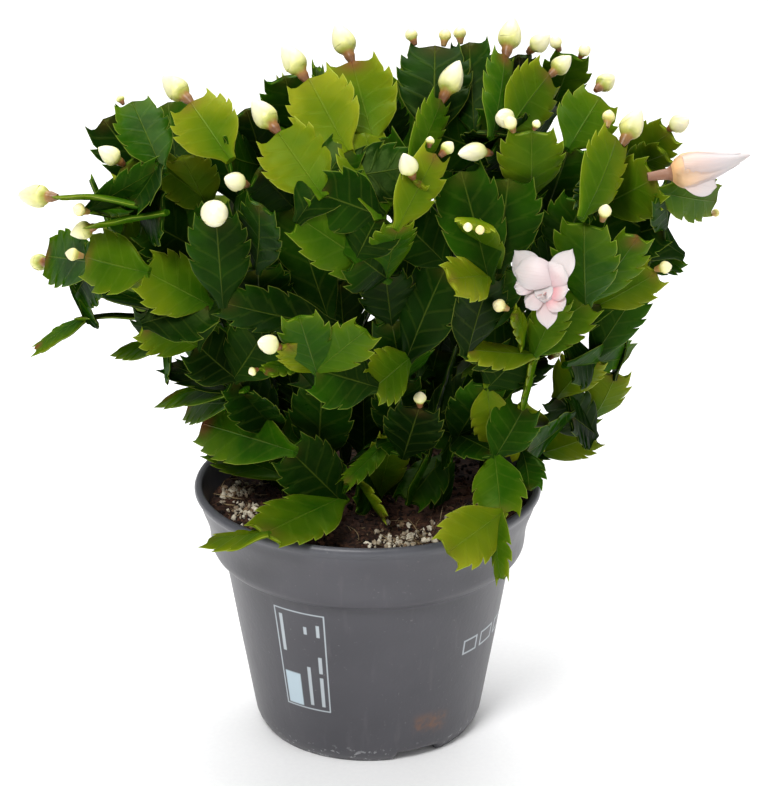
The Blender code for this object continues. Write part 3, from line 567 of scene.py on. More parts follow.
    def thicken(self):
        """Old segments close together inside the plant: first evenly, then wherever the eye
        would still see through it."""
        self.apart = True
        for i in range(THICKET):
            height = DOME_FOOT + THICKET_H * (i * GOLDEN % 1.0)
            x = 0.82 * float(np.interp(height, *SPREAD)) * (2 * (i * ASIDE % 1.0) - 1)
            self.stand(Vector((x, -8 + 58 * (i + 0.5) / THICKET, height)),
                       self.random.uniform(20, 25), self.random.uniform(-25, 25),
                       self.random.choice("oom"), self.nearest(x, 20, "bcdefg"))
        for height in np.arange(106.0, 226.0, GAP_STEP):
            wide = 0.8 * float(np.interp(height, *SPREAD))
            for x in np.arange(-wide, wide, GAP_STEP):
                seen = Vector((float(x), 10.0, float(height)))
                if not self.seen_through(seen):
                    continue
                way = (seen - EYE) / (seen.y - EYE.y)
                for self.apart in (True, False):
                    if any(self.stand(seen + way * away, width, 0, "o", cutting)
                           for width in (22, 12) for away in (16, 4, 28, -6, 40, -18)
                           for cutting in self.nearest_few(seen)):
                        break

    def fill(self):
        """The far side: strings spread evenly over the back of a dome, a bud on every seventh until
        six buds stand.
        """
        spots, golden = [], math.radians(GOLDEN_TURN)
        for i in range(DOME_SPOTS):
            rise = 0.02 + 0.96 * (i + 0.5) / DOME_SPOTS
            around = golden * i
            level = math.sqrt(1 - rise**2)
            height = DOME_FOOT + DOME_H * rise
            wide = float(np.interp(height, *SPREAD)) * (level if rise > 0.75 else 0.98)
            spot = Vector((wide * math.cos(around), 6 + 0.8 * wide * math.sin(around), height))
            if spot.y > 8:
                spots.append(spot)
        spots.sort(key=lambda s: s.z)
        sizes = ["M", "S", "L", "S", "M", "T"]
        for i, spot in enumerate(spots):
            out = Vector((spot.x, spot.y * 1.3, (spot.z - 128) * 1.1)).normalized()
            heading = (out + Vector((0, 0, 0.25))).normalized()
            tip = spot + heading * self.random.uniform(-6, 8)
            base = tip - heading * self.random.uniform(26, 31)
            cutting = self.nearest(spot.x, spot.y, "defg")
            buds = ()
            if sizes and i % 7 == 3:
                buds = ((sizes[0], 0, self.random.uniform(-40, 40)),)
            look = (out + Vector((0, 0, 1.2))).normalized()
            made = self.place_shoot(cutting, (base, tip), self.random.uniform(19, 25),
                                    self.random.uniform(-35, 35),
                                    self.random.choice("ymmo"), buds, look)
            if made and self.connect(made) and made[-1].buds:
                sizes.pop(0)


# ---- Shapes, as whole arrays in mm -------------------------------------------------------------

# Edges that turn by more than this many degrees are drawn sharp.
SHARP = 58.0
# A free petal's thickness, and its rows and columns.
PETAL_THICK, PETAL_GRID = 0.4, (15, 11)


def unevenness(points, scale, seed, octaves=3):
    """Smooth unevenness near -1 to 1 at each point: products of sines along turned directions,
    each octave twice as fine and half as high as the one before."""
    made = np.random.default_rng(seed)
    total = np.zeros(points.shape[:-1])
    for octave in range(octaves):
        for _ in range(3):
            one, two = made.normal(size=(2, 3)) * scale * 2**octave
            start = made.uniform(0, 6.28, 2)
            total += 0.5 / 2**octave * np.sin(points @ one + start[0]) * np.cos(
                points @ two + start[1])
    return total


def skinned(rings, across):
    """Points, faces and (across, along) of a closed surface given as rings. Both ends are closed
    by a fan round their middle. Each ring runs clockwise about the way the rings go."""
    rows, around = rings.shape[:2]
    points = np.concatenate([rings.reshape(-1, 3), rings[:1].mean(1), rings[-1:].mean(1)])
    uv = np.stack(np.meshgrid(across, np.linspace(0, 1, rows)), -1).reshape(-1, 2)
    uv = np.concatenate([uv, [[0.5, 0.0], [0.5, 1.0]]])
    spot = np.arange(rows * around).reshape(rows, around)
    ahead = np.roll(spot, -1, axis=1)
    quads = np.stack([spot[:-1], spot[1:], ahead[1:], ahead[:-1]], -1).reshape(-1, 4)
    ends = np.repeat([rows * around, rows * around + 1], around)
    fans = np.stack([ends, np.r_[spot[0], ahead[-1]], np.r_[ahead[0], spot[-1]]], -1)
    return points, quads, fans, uv


def closed_sheet(front, back):
    """A closed surface of a sheet whose front and back grids share their side margins. Rows run
    along the sheet."""
    across = np.linspace(0, 1, front.shape[1])
    return skinned(np.concatenate([front, back[:, -2:0:-1]], axis=1),
                   np.r_[across, across[-2:0:-1]])


def surface_round(rings):
    """A closed surface of rings that each run anticlockwise about the way the rings go."""
    points, quads, fans, uv = skinned(
        rings, np.abs(np.linspace(-1, 1, rings.shape[1], endpoint=False)))
    return points, quads[:, [0, 3, 2, 1]], fans[:, [0, 2, 1]], uv


def piece(name, shapes, paint, nodes, tones=None):
    """One object of several closed shapes in mm. tones holds four values for each shape, which
    its points keep as the attribute tone. The piece rides on the root and stands for the
    nodes."""
    points, faces, uvs, colours, start = [], [], [], [], 0
    for k, (corners, quads, fans, uv) in enumerate(shapes):
        points.append(corners)
        faces += (quads + start).tolist() + (fans + start).tolist()
        uvs.append(uv)
        tone = np.zeros(4) if tones is None else np.asarray(tones[k], float)
        colours.append(np.broadcast_to(tone, (len(corners), 4)))
        start += len(corners)
    mesh = bpy.data.meshes.new(name)
    mesh.from_pydata(np.concatenate(points) * MM, [], faces)
    mesh.polygons.foreach_set("use_smooth", np.full(len(faces), True))
    loops = np.empty(len(mesh.loops), np.int32)
    mesh.loops.foreach_get("vertex_index", loops)
    mesh.uv_layers.new(name="skin").data.foreach_set(
        "uv", np.concatenate(uvs)[loops].astype(np.float32).ravel())
    mesh.color_attributes.new("tone", "FLOAT_COLOR", "POINT").data.foreach_set(
        "color", np.concatenate(colours).astype(np.float32).ravel())
    mesh.set_sharp_from_angle(angle=math.radians(SHARP))
    mesh.materials.append(paint)
    made = bpy.data.objects.new(name, mesh)
    bpy.context.scene.collection.objects.link(made)
    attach(made, "root")
    if nodes:
        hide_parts(*nodes)
    return made


# Columns across a stem segment, as shares of the half width, and how much of a tooth's forward
# pull each column feels.
COLUMNS = np.array([-1, -0.9, -0.68, -0.38, -0.1, 0, 0.1, 0.38, 0.68, 0.9, 1.0])
PULL = np.array([1, 0.2, 0, 0, 0, 0, 0, 0, 0, 0.2, 1.0])
# Half width of a segment from its neck to its end, before the teeth: (share of length, share of
# the widest half width).
GIRTH = ((-0.08, 0.0, 0.1, 0.2, 0.32, 0.46, 0.6, 0.74, 0.86, 1.0),
         (0.17, 0.2, 0.38, 0.6, 0.8, 0.95, 1.0, 0.96, 0.84, 0.62))


def margin(teeth, first, depth, hook, draw):
    """One margin of a segment, row by row: share of the length, share of the half width, and how
    far the row's end is drawn forward. Each tooth is an arc out from its notch to a sharp tip
    that points forward. The last tooth is the horn at the end."""
    tips = np.linspace(first, 1.0, teeth)
    tips[1:-1] += draw.uniform(-0.025, 0.025, teeth - 2)
    tips[0] += draw.uniform(-0.05, 0.03)
    low = np.linspace(-0.07, tips[0], 7)
    along, wide, pull = [low], [np.interp(low, *GIRTH)], [np.r_[np.zeros(6), hook]]
    for k in range(1, teeth):
        part = np.array([0.0, 0.3, 0.66, 1.0])
        gap = tips[k] - tips[k - 1]
        rows = tips[k - 1] + 0.07 * gap + 0.93 * gap * part
        deep = depth * draw.uniform(0.7, 1.25)
        arc = 1 - deep * (1 - part) ** 2.2
        arc[-1] += 0.02
        along.append(rows)
        wide.append(np.interp(rows, *GIRTH) * arc)
        reach = 1.3 if k == teeth - 1 else draw.uniform(0.8, 1.1)
        pull.append(np.r_[0, 0, 0.12, 1] * hook * reach)
    return np.concatenate(along), np.concatenate(wide), np.concatenate(pull)


def segment_skin(segment, draw):
    """One stem segment. Each row crosses it from margin to margin. It is thickest at the midrib,
    thin at the margins, bowed along and across, a little twisted, with wavy margins."""
    along, side, flat = (np.array(v) for v in segment.frame())
    length, half = (segment.tip - segment.base).length, segment.width / 2
    teeth = 4 if length > draw.uniform(20, 30) else 3
    depth, hook = 2.0 / max(half, 5.0), 2.0 + 0.4 * draw.uniform(-1, 1)
    if segment.rooted:
        depth, hook = 0.5 * depth, 0.5 * hook
    sides = [margin(teeth, draw.uniform(0.42, 0.52), depth, hook, draw) for _ in range(2)]
    middle = 0.5 * (sides[0][0] + sides[1][0]) * (length - 1.8)
    reach, across, pull = (np.where(COLUMNS >= 0, one[:, None], two[:, None])
                           for one, two in zip(*sides))
    reach = middle[:, None] + (reach * length - middle[:, None]) * np.abs(COLUMNS) + pull * PULL
    across = across * half * COLUMNS
    end = np.array([[length - 0.9, 0.5 * half], [length - 0.2, 0.22 * half]])
    hump = (1 - np.abs(COLUMNS)) * np.array([[1.3], [0.9]])
    reach = np.concatenate([reach, end[:, :1] + hump])
    across = np.concatenate([across, end[:, 1:] * COLUMNS])
    u, v = reach / length, across / half
    bow, cup, twist = draw.uniform(-1.3, 1.6), draw.uniform(-1.5, 1.0), draw.uniform(-0.12, 0.12)
    rise = bow * np.sin(np.pi * np.clip(u, 0, 1)) + cup * v**2 * np.sin(np.pi * np.clip(u, 0, 1))
    rise += 0.35 * np.sin(11 * u + draw.uniform(0, 6)) * np.abs(v) ** 2
    rise += across * np.sin(twist * (u - 0.5))
    body = (1 - np.abs(COLUMNS) ** 2.6) ** 0.5
    swell = 1 + 0.25 * np.exp(-((u - 0.02) / 0.07) ** 2)
    thick = 0.22 + (THICK / 2 - 0.35) * body * swell
    thick += 0.26 * np.exp(-((COLUMNS / 0.2) ** 2)) * (1 - np.clip(u, 0, 1) ** 4)
    thick[-1] *= 0.6
    thick[:, [0, -1]] = 0.0
    base = np.array(segment.base)
    sheet = base + reach[..., None] * along + across[..., None] * side
    points, quads, fans, uv = closed_sheet(
        sheet + (rise + thick)[..., None] * flat, sheet + (rise - thick)[..., None] * flat)
    uv[:-2, 1] = np.clip(np.concatenate([u, u[:, -2:0:-1]], 1).ravel(), 0, 1)
    return points, quads, fans, uv


def profile_rings(foot, axis, reach, radius, around, bend=0.0, crease=0.0, turn=0.0):
    """Rings of a spindle about an axis: radius against reach, its middle line bent upwards as
    reach squared, its rings creased by four lobes that wind slowly round it."""
    axis = np.array(axis) / np.linalg.norm(axis)
    side = np.cross(axis, [0.3, 0.2, 1.0])
    side /= np.linalg.norm(side)
    over = np.cross(axis, side)
    around_by = np.linspace(0, 2 * np.pi, around, endpoint=False)
    share = reach / reach.max()
    wave = 1 + crease * np.cos(4 * around_by + turn + 2.2 * share[:, None]) * np.sin(
        np.pi * np.clip(share, 0, 1))[:, None]
    spread = radius[:, None] * wave
    middle = np.array(foot) + reach[:, None] * axis + np.array([0, 0, 1]) * (
        bend * share**2)[:, None]
    return middle[:, None] + spread[..., None] * (
        np.cos(around_by)[:, None] * side + np.sin(around_by)[:, None] * over)


def curve(stops, share):
    """A smooth line through stops of (place, value), by cubics with flat-ended slopes."""
    xs, ys = (np.array(c, float) for c in zip(*stops))
    slope = np.gradient(ys, xs)
    i = np.clip(np.searchsorted(xs, share, side="right") - 1, 0, len(xs) - 2)
    h = xs[i + 1] - xs[i]
    t = np.clip((share - xs[i]) / h, 0, 1)
    return (ys[i] * (1 + 2 * t) * (1 - t) ** 2 + slope[i] * h * t * (1 - t) ** 2
            + ys[i + 1] * t * t * (3 - 2 * t) + slope[i + 1] * h * t * t * (t - 1))


# Outline of a bud: (share of its length, share of its radius). The first part is its green foot.
BUD_OUTLINE = ((-0.1, 0.3), (0.0, 0.42), (0.08, 0.52), (0.16, 0.52), (0.22, 0.74), (0.33, 1.0),
               (0.46, 1.05), (0.62, 0.92), (0.78, 0.66), (0.9, 0.38), (0.97, 0.18), (1.0, 0.06))
SMALL_OUTLINE = ((-0.14, 0.4), (0.0, 0.5), (0.14, 0.6), (0.26, 0.72), (0.42, 1.0), (0.6, 1.04),
                 (0.78, 0.8), (0.92, 0.42), (1.0, 0.1))
ROUND_OUTLINE = ((-0.1, 0.3), (0.0, 0.5), (0.16, 0.62), (0.26, 0.85), (0.45, 1.04), (0.66, 1.0),
                 (0.82, 0.74), (0.94, 0.36), (1.0, 0.1))


def wrapped_petal(bud, outline, length, radius, start, stop, turn, spread, proud, bend):
    """A petal lying on a bud: a patch of the bud's own surface between two shares of its length,
    as wide as spread, held proud of it, and pointed at its far end."""
    axis = np.array(bud.axis)
    side = np.cross(axis, [0.3, 0.2, 1.0])
    side /= np.linalg.norm(side)
    over = np.cross(axis, side)
    u, v = np.linspace(0, 1, 9)[:, None], np.linspace(-1, 1, 9)[None, :]
    wide = np.sin(np.pi * (0.12 + 0.86 * u)) ** 0.55 * spread
    share = start + (stop - start) * u + 0 * v
    place = turn + v * wide + 0.5 * u
    reach = share * length

    def layer(lift):
        r = curve(outline, share) * radius + lift * (1 - 0.7 * v**2)
        return (np.array(bud.foot) + reach[..., None] * axis
                + np.array([0, 0, 1]) * (bend * np.clip(share, 0, 1) ** 2)[..., None]
                + r[..., None] * (np.cos(place)[..., None] * side
                                  + np.sin(place)[..., None] * over))

    outer, inner = layer(proud), layer(proud - 0.35)
    inner[:, [0, -1]] = outer[:, [0, -1]]
    points, quads, fans, uv = closed_sheet(outer, inner)
    uv[:, 1] = np.r_[np.repeat(share[:, 0], 16), start, stop]
    return points, quads, fans, uv


def bud_shapes(bud, draw):
    """A closed bud: its creased spindle, and on all but the smallest the petals wrapped on it."""
    length, radius = BUDS[bud.size]
    bend = CURVED_BEND * length if bud.size == "X" else 0.0
    outline = {"S": SMALL_OUTLINE, "T": SMALL_OUTLINE, "R": ROUND_OUTLINE}.get(
        bud.size, BUD_OUTLINE)
    share = np.linspace(outline[0][0], 1.0, 20)
    rings = profile_rings(bud.foot, bud.axis, share * length,
                          np.maximum(curve(outline, share), 0.04) * radius, 20, bend,
                          crease=0.035, turn=draw.uniform(0, 6))
    points, quads, fans, uv = surface_round(rings)
    uv[:, 1] = np.r_[np.repeat(share, 20), share[0], 1.0]
    shapes = [(points, quads, fans, uv)]
    if bud.size in "LMRX":
        first = draw.uniform(0, 6)
        for k in range(3):
            shapes.append(wrapped_petal(bud, outline, length, radius, 0.26 + 0.05 * k,
                                        (0.8, 0.9, 0.97)[k], first + 2.2 * k, 1.0,
                                        0.16 + 0.05 * k, bend))
    return shapes


def petal(foot, axis, out, length, width, lift, curl, cup, ruffle, blunt):
    """A free petal. Its middle line leaves the foot outwards, lifts along the axis and curls
    back as the square of its reach. It is widest past its middle, cupped and ruffled."""
    side = np.cross(out, axis)
    rows, columns = PETAL_GRID
    u, v = np.linspace(0, 1, rows)[:, None], np.linspace(-1, 1, columns)[None, :]
    wide = width / 2 * (0.3 + 0.7 * np.sin(np.pi * np.clip(u, 0, 1) ** 0.9 / 1.35)) * (
        1 - u**5) ** blunt
    reach = length * (u - 0.04 * v**2 * u**3) + 0 * v
    rise = lift * np.sin(0.5 * np.pi * u) - curl * u**2 + cup * v**2 * wide
    rise = rise + ruffle * np.sin(8 * v + 5 * u) * u
    sheet = foot + reach[..., None] * out + (wide * v)[..., None] * side
    deep = PETAL_THICK / 2 * (1 - np.abs(v) ** 3) + 0 * u
    return closed_sheet(sheet + (rise - deep)[..., None] * axis,
                        sheet + (rise + deep)[..., None] * axis)


def strands(starts, headings, lengths, radius, draw):
    """Thin fibres, all at once: each bends by its own curve and tapers to both ends."""
    count = len(starts)
    u = np.linspace(0, 1, 6)[None, :, None]
    sway = draw.normal(size=(count, 1, 3)) * 0.35
    lines = starts[:, None] + lengths[:, None, None] * (
        headings[:, None] * u + sway * u**2 * np.array([1, 1, 0.5]))
    side = np.cross(headings, [0.1, 0.2, 1.0])
    side /= np.linalg.norm(side, axis=1, keepdims=True)
    over = np.cross(headings, side)
    turn = np.array([0, 2.1, 4.2])
    fat = radius[:, None, None, None] * (0.35 + 0.65 * np.sin(np.pi * u))[..., None]
    around = (np.cos(turn)[:, None] * side[:, None, None] + np.sin(turn)[:, None]
              * over[:, None, None])
    return lines[:, :, None] + fat * around


def lumps(centres, sizes, draw, around=6, rows=4):
    """Small uneven grains, all at once: rings of a sphere, each point pushed in or out."""
    lat = np.linspace(-0.42, 0.42, rows) * np.pi
    lon = np.linspace(0, 2 * np.pi, around, endpoint=False)
    unit = np.stack(np.broadcast_arrays(np.cos(lat)[:, None] * np.cos(lon),
                                        np.cos(lat)[:, None] * np.sin(lon),
                                        np.sin(lat)[:, None] + 0 * lon), -1)
    uneven = 1 + 0.28 * draw.normal(size=(len(centres), rows, around, 1)).clip(-1.5, 1.5)
    stretch = draw.uniform(0.6, 1.25, (len(centres), 1, 1, 3))
    return centres[:, None, None] + sizes[:, None, None, None] * unit * uneven * stretch


# ---- Finishes ----------------------------------------------------------------------------------

class Finish:
    """A node material, built step by step. Every step returns an output socket."""

    def __init__(self, name, roughness=0.5):
        self.material = bpy.data.materials.new(name)
        self.material.use_nodes = True
        self.tree = self.material.node_tree
        self.shader = self.tree.nodes["Principled BSDF"]
        self.shader.inputs["Roughness"].default_value = roughness

    def add(self, kind, *given, out=0, **settings):
        """A new node with its inputs given in order."""
        made = self.tree.nodes.new(kind)
        for key, value in settings.items():
            setattr(made, key, value)
        for slot, value in zip(made.inputs, given):
            self.put(slot, value)
        return made.outputs[out]

    def put(self, slot, value):
        """Sets the input, or links it when the value is a socket. None leaves it."""
        if value is None:
            return
        if isinstance(value, bpy.types.NodeSocket):
            self.tree.links.new(value, slot)
        else:
            slot.default_value = value

    def maths(self, operation, *given, clamp=False):
        return self.add("ShaderNodeMath", *given, operation=operation, use_clamp=clamp)

    def step(self, value, low, high):
        """0 below low, 1 above high and smooth between, or the other way round if low > high."""
        made = self.tree.nodes.new("ShaderNodeMapRange")
        made.interpolation_type = "SMOOTHSTEP"
        turned_round = low > high
        for slot, given in zip(made.inputs, (value, min(low, high), max(low, high),
                                             float(turned_round), float(not turned_round))):
            self.put(slot, given)
        return made.outputs[0]

    def mix(self, share, one, two, blend="MIX"):
        """The colour one, going over to two as share rises to 1."""
        made = self.tree.nodes.new("ShaderNodeMix")
        made.data_type, made.blend_type = "RGBA", blend
        self.put(made.inputs[0], share)
        self.put(made.inputs[6], one)
        self.put(made.inputs[7], two)
        return made.outputs[2]

    def ramp(self, value, *stops):
        """A colour by value, from stops of (value, colour)."""
        made = self.tree.nodes.new("ShaderNodeValToRGB")
        points = made.color_ramp.elements
        while len(points) < len(stops):
            points.new(0.5)
        for point, (place, colour) in zip(points, stops):
            point.position, point.color = place, (*colour, 1.0)
        self.put(made.inputs[0], value)
        return made.outputs[0]

    def place(self, scale=None):
        spot = self.add("ShaderNodeTexCoord", out=3)
        return spot if scale is None else self.add(
            "ShaderNodeMapping", spot, None, None, scale, vector_type="POINT")

    def noise(self, scale, detail=3.0, roughness=0.55, where=None):
        made = self.tree.nodes.new("ShaderNodeTexNoise")
        self.put(made.inputs["Vector"], where or self.place())
        made.inputs["Scale"].default_value = scale
        made.inputs["Detail"].default_value = detail
        made.inputs["Roughness"].default_value = roughness
        return made.outputs[0]

    def parts(self, vector):
        made = self.tree.nodes.new("ShaderNodeSeparateXYZ")
        self.put(made.inputs[0], vector)
        return made.outputs[:3]

    def skin(self):
        """Across and along each shape, from the piece's own UV map."""
        return self.parts(self.add("ShaderNodeUVMap", uv_map="skin"))[:2]

    def tone(self):
        """The first three of the four values that piece() keeps for each shape."""
        made = self.tree.nodes.new("ShaderNodeAttribute")
        made.attribute_name = "tone"
        return self.parts(made.outputs["Vector"])

    def bump(self, height, distance, strength=1.0, after=None):
        made = self.tree.nodes.new("ShaderNodeBump")
        made.inputs["Strength"].default_value = strength
        made.inputs["Distance"].default_value = distance
        self.put(made.inputs["Height"], height)
        self.put(made.inputs["Normal"], after)
        return made.outputs[0]

    def let_through(self, weight, radius, scale):
        """How much light goes through, how far for each colour, and the depth in metres."""
        for name, value in (("Weight", weight), ("Radius", radius), ("Scale", scale)):
            self.put(self.shader.inputs["Subsurface " + name], value)

    def shine(self, level, tint=None):
        """How strong the reflections are, and their colour where it isn't white."""
        self.put(self.shader.inputs["Specular IOR Level"], level)
        self.put(self.shader.inputs["Specular Tint"], tint)

    def end(self, colour, roughness=None, normal=None):
        """The finished material, with what is left to be set on it."""
        self.put(self.shader.inputs["Base Color"], colour)
        self.put(self.shader.inputs["Roughness"], roughness)
        self.put(self.shader.inputs["Normal"], normal)
        return self.material


def stem_finish():
    """Stem skin: dark green when old, lime when young, with a paler midrib, margins paler of their
    own with a painted glow of light along the thin edge, brown-red by the end areole, faint side
    veins and a gloss that fades at glancing angles."""
    f = Finish("stem_skin")
    across, along = f.skin()
    young, chance, red = f.tone()
    off = f.maths("ABSOLUTE", f.maths("MULTIPLY_ADD", across, 2.0, -1.0))
    broad, fine = f.noise(55.0, 2.0), f.noise(420.0, 3.0)
    age = f.maths("MULTIPLY_ADD", f.maths("SUBTRACT", broad, 0.5), 0.5, young)
    age = f.maths("MULTIPLY_ADD", f.maths("SUBTRACT", chance, 0.5), 0.14, age)
    age = f.maths("MULTIPLY_ADD", f.maths("SUBTRACT", along, 0.5), 0.16, age)
    rim = f.maths("SUBTRACT", f.maths("MULTIPLY", off, off), 0.3)
    age = f.maths("MULTIPLY_ADD", rim, f.maths("MULTIPLY", young, 0.4), age)
    colour = f.ramp(age, (0.0, (0.002, 0.009, 0.001)), (0.2, (0.004, 0.021, 0.001)),
                    (0.42, (0.014, 0.058, 0.001)), (0.6, (0.048, 0.103, 0.002)),
                    (0.8, (0.108, 0.148, 0.003)), (1.0, (0.205, 0.228, 0.010)))
    colour = f.mix(f.maths("MULTIPLY", f.step(fine, 0.4, 0.8), f.maths("MULTIPLY", young, 0.24)),
                   colour, (0.10, 0.14, 0.015, 1))
    vein = f.maths("SINE", f.maths("MULTIPLY_ADD", along, 30.0, f.maths("MULTIPLY", off, -9.0)))
    vein = f.step(vein, 0.75, 1.0)
    rib = f.step(off, 0.085, 0.0)
    lines = f.maths("MAXIMUM", f.maths("MULTIPLY", vein, 0.04), f.maths("MULTIPLY", rib, 0.22))
    colour = f.mix(lines, colour, (0.20, 0.28, 0.03, 1))
    # Pale lime at the thin margins, more on young segments: partly the margins' own paler colour,
    # partly painted glow of light through and along the thin edge.
    margin_tint_and_glow = f.maths("MULTIPLY", f.step(off, 0.93, 1.0), f.maths("MULTIPLY_ADD", young, 0.5, 0.22))
    colour = f.mix(margin_tint_and_glow, colour, (0.36, 0.42, 0.06, 1))
    tip = f.maths("MULTIPLY", f.step(along, 0.8, 1.0), f.step(off, 0.8, 0.1))
    colour = f.mix(f.maths("MULTIPLY", tip, red), colour, (0.17, 0.055, 0.022, 1))
    rough = f.maths("MULTIPLY_ADD", f.noise(160.0, 3.0), 0.24, 0.2)
    height = f.maths("MULTIPLY_ADD", fine, 0.35, f.maths("MULTIPLY_ADD", vein, 0.25, rib))
    facing = f.add("ShaderNodeLayerWeight", out=1)
    gloss = f.maths("MULTIPLY", f.step(facing, 0.8, 0.3), 0.07)
    f.shine(gloss, (0.62, 1.0, 0.22, 1.0))
    f.let_through(0.12, (0.3, 1.0, 0.12), 0.0016)
    return f.end(colour, rough, f.bump(height, 0.00018))


def bud_finish():
    """Bud skin: a brown-orange foot, then yellow-green, paling to cream at the tip."""
    f = Finish("bud_skin")
    _, along = f.skin()
    small, chance, _ = f.tone()
    streak = f.noise(300.0, 3.0)
    place = f.maths("MULTIPLY_ADD", f.maths("SUBTRACT", streak, 0.5), 0.2, along)
    place = f.maths("MULTIPLY_ADD", small, -0.12, place)
    colour = f.ramp(place, (0.0, (0.15, 0.055, 0.015)), (0.12, (0.27, 0.12, 0.025)),
                    (0.21, (0.33, 0.36, 0.05)), (0.34, (0.70, 0.69, 0.26)),
                    (0.6, (0.86, 0.81, 0.46)), (1.0, (0.92, 0.86, 0.62)))
    warm = f.maths("MULTIPLY", small, f.step(chance, 0.35, 0.8))
    colour = f.mix(f.maths("MULTIPLY", warm, 0.55), colour, (0.74, 0.55, 0.16, 1))
    rough = f.maths("MULTIPLY_ADD", streak, 0.2, 0.32)
    f.let_through(0.25, (1.0, 0.8, 0.3), 0.0015)
    return f.end(colour, rough, f.bump(streak, 0.00012))


def petal_finish():
    """Petals: near white with fine lengthwise veins, pink towards the throat, peach and then
    orange-brown at the foot. tone gives how far each shape is peach, pink and brown."""
    f = Finish("petal_skin")
    across, along = f.skin()
    peach, pink, brown = f.tone()
    veins = f.maths("SINE", f.maths("MULTIPLY", across, 60.0))
    veins = f.maths("MULTIPLY", f.step(veins, 0.2, 1.0), 0.12)
    soft = f.noise(140.0, 2.0)
    colour = f.mix(veins, (0.56, 0.52, 0.515, 1), (0.53, 0.44, 0.45, 1))
    colour = f.mix(f.maths("MULTIPLY", soft, 0.35), colour, (0.58, 0.46, 0.43, 1))
    near = f.step(along, 0.75, 0.0)
    blush = f.maths("MULTIPLY", pink, f.step(along, 1.05, 0.1))
    colour = f.mix(blush, colour, (0.72, 0.27, 0.30, 1))
    colour = f.mix(f.maths("MULTIPLY", peach, near), colour, (0.80, 0.44, 0.18, 1))
    colour = f.mix(brown, colour, (0.20, 0.062, 0.006, 1))
    f.let_through(0.35, (1.0, 0.7, 0.6), 0.002)
    return f.end(colour, f.maths("MULTIPLY_ADD", soft, 0.15, 0.38), f.bump(veins, 0.0002))


# Print on the pot, in degrees round it and mm up it: the middle, half width and half height of
# each plain patch. The bars stand in for a printed label and say nothing.
LABEL = (-28.8, 43.8, 11.4, 21.4)
PATCH = (-34.8, 30.4, 3.9, 7.0)
BARS = ((-26.2, 33.0, 0.8, 8.5), (-20.6, 31.0, 0.8, 6.5), (-20.6, 43.0, 0.8, 3.6),
        (-37.2, 54.5, 0.8, 8.0), (-26.2, 57.5, 0.7, 1.6), (-20.6, 58.0, 0.7, 2.6))
SIDE_BARS = ((49.0, 44.6, 4.6, 3.1), (61.5, 44.6, 5.4, 3.1), (74.5, 44.6, 4.6, 3.1))


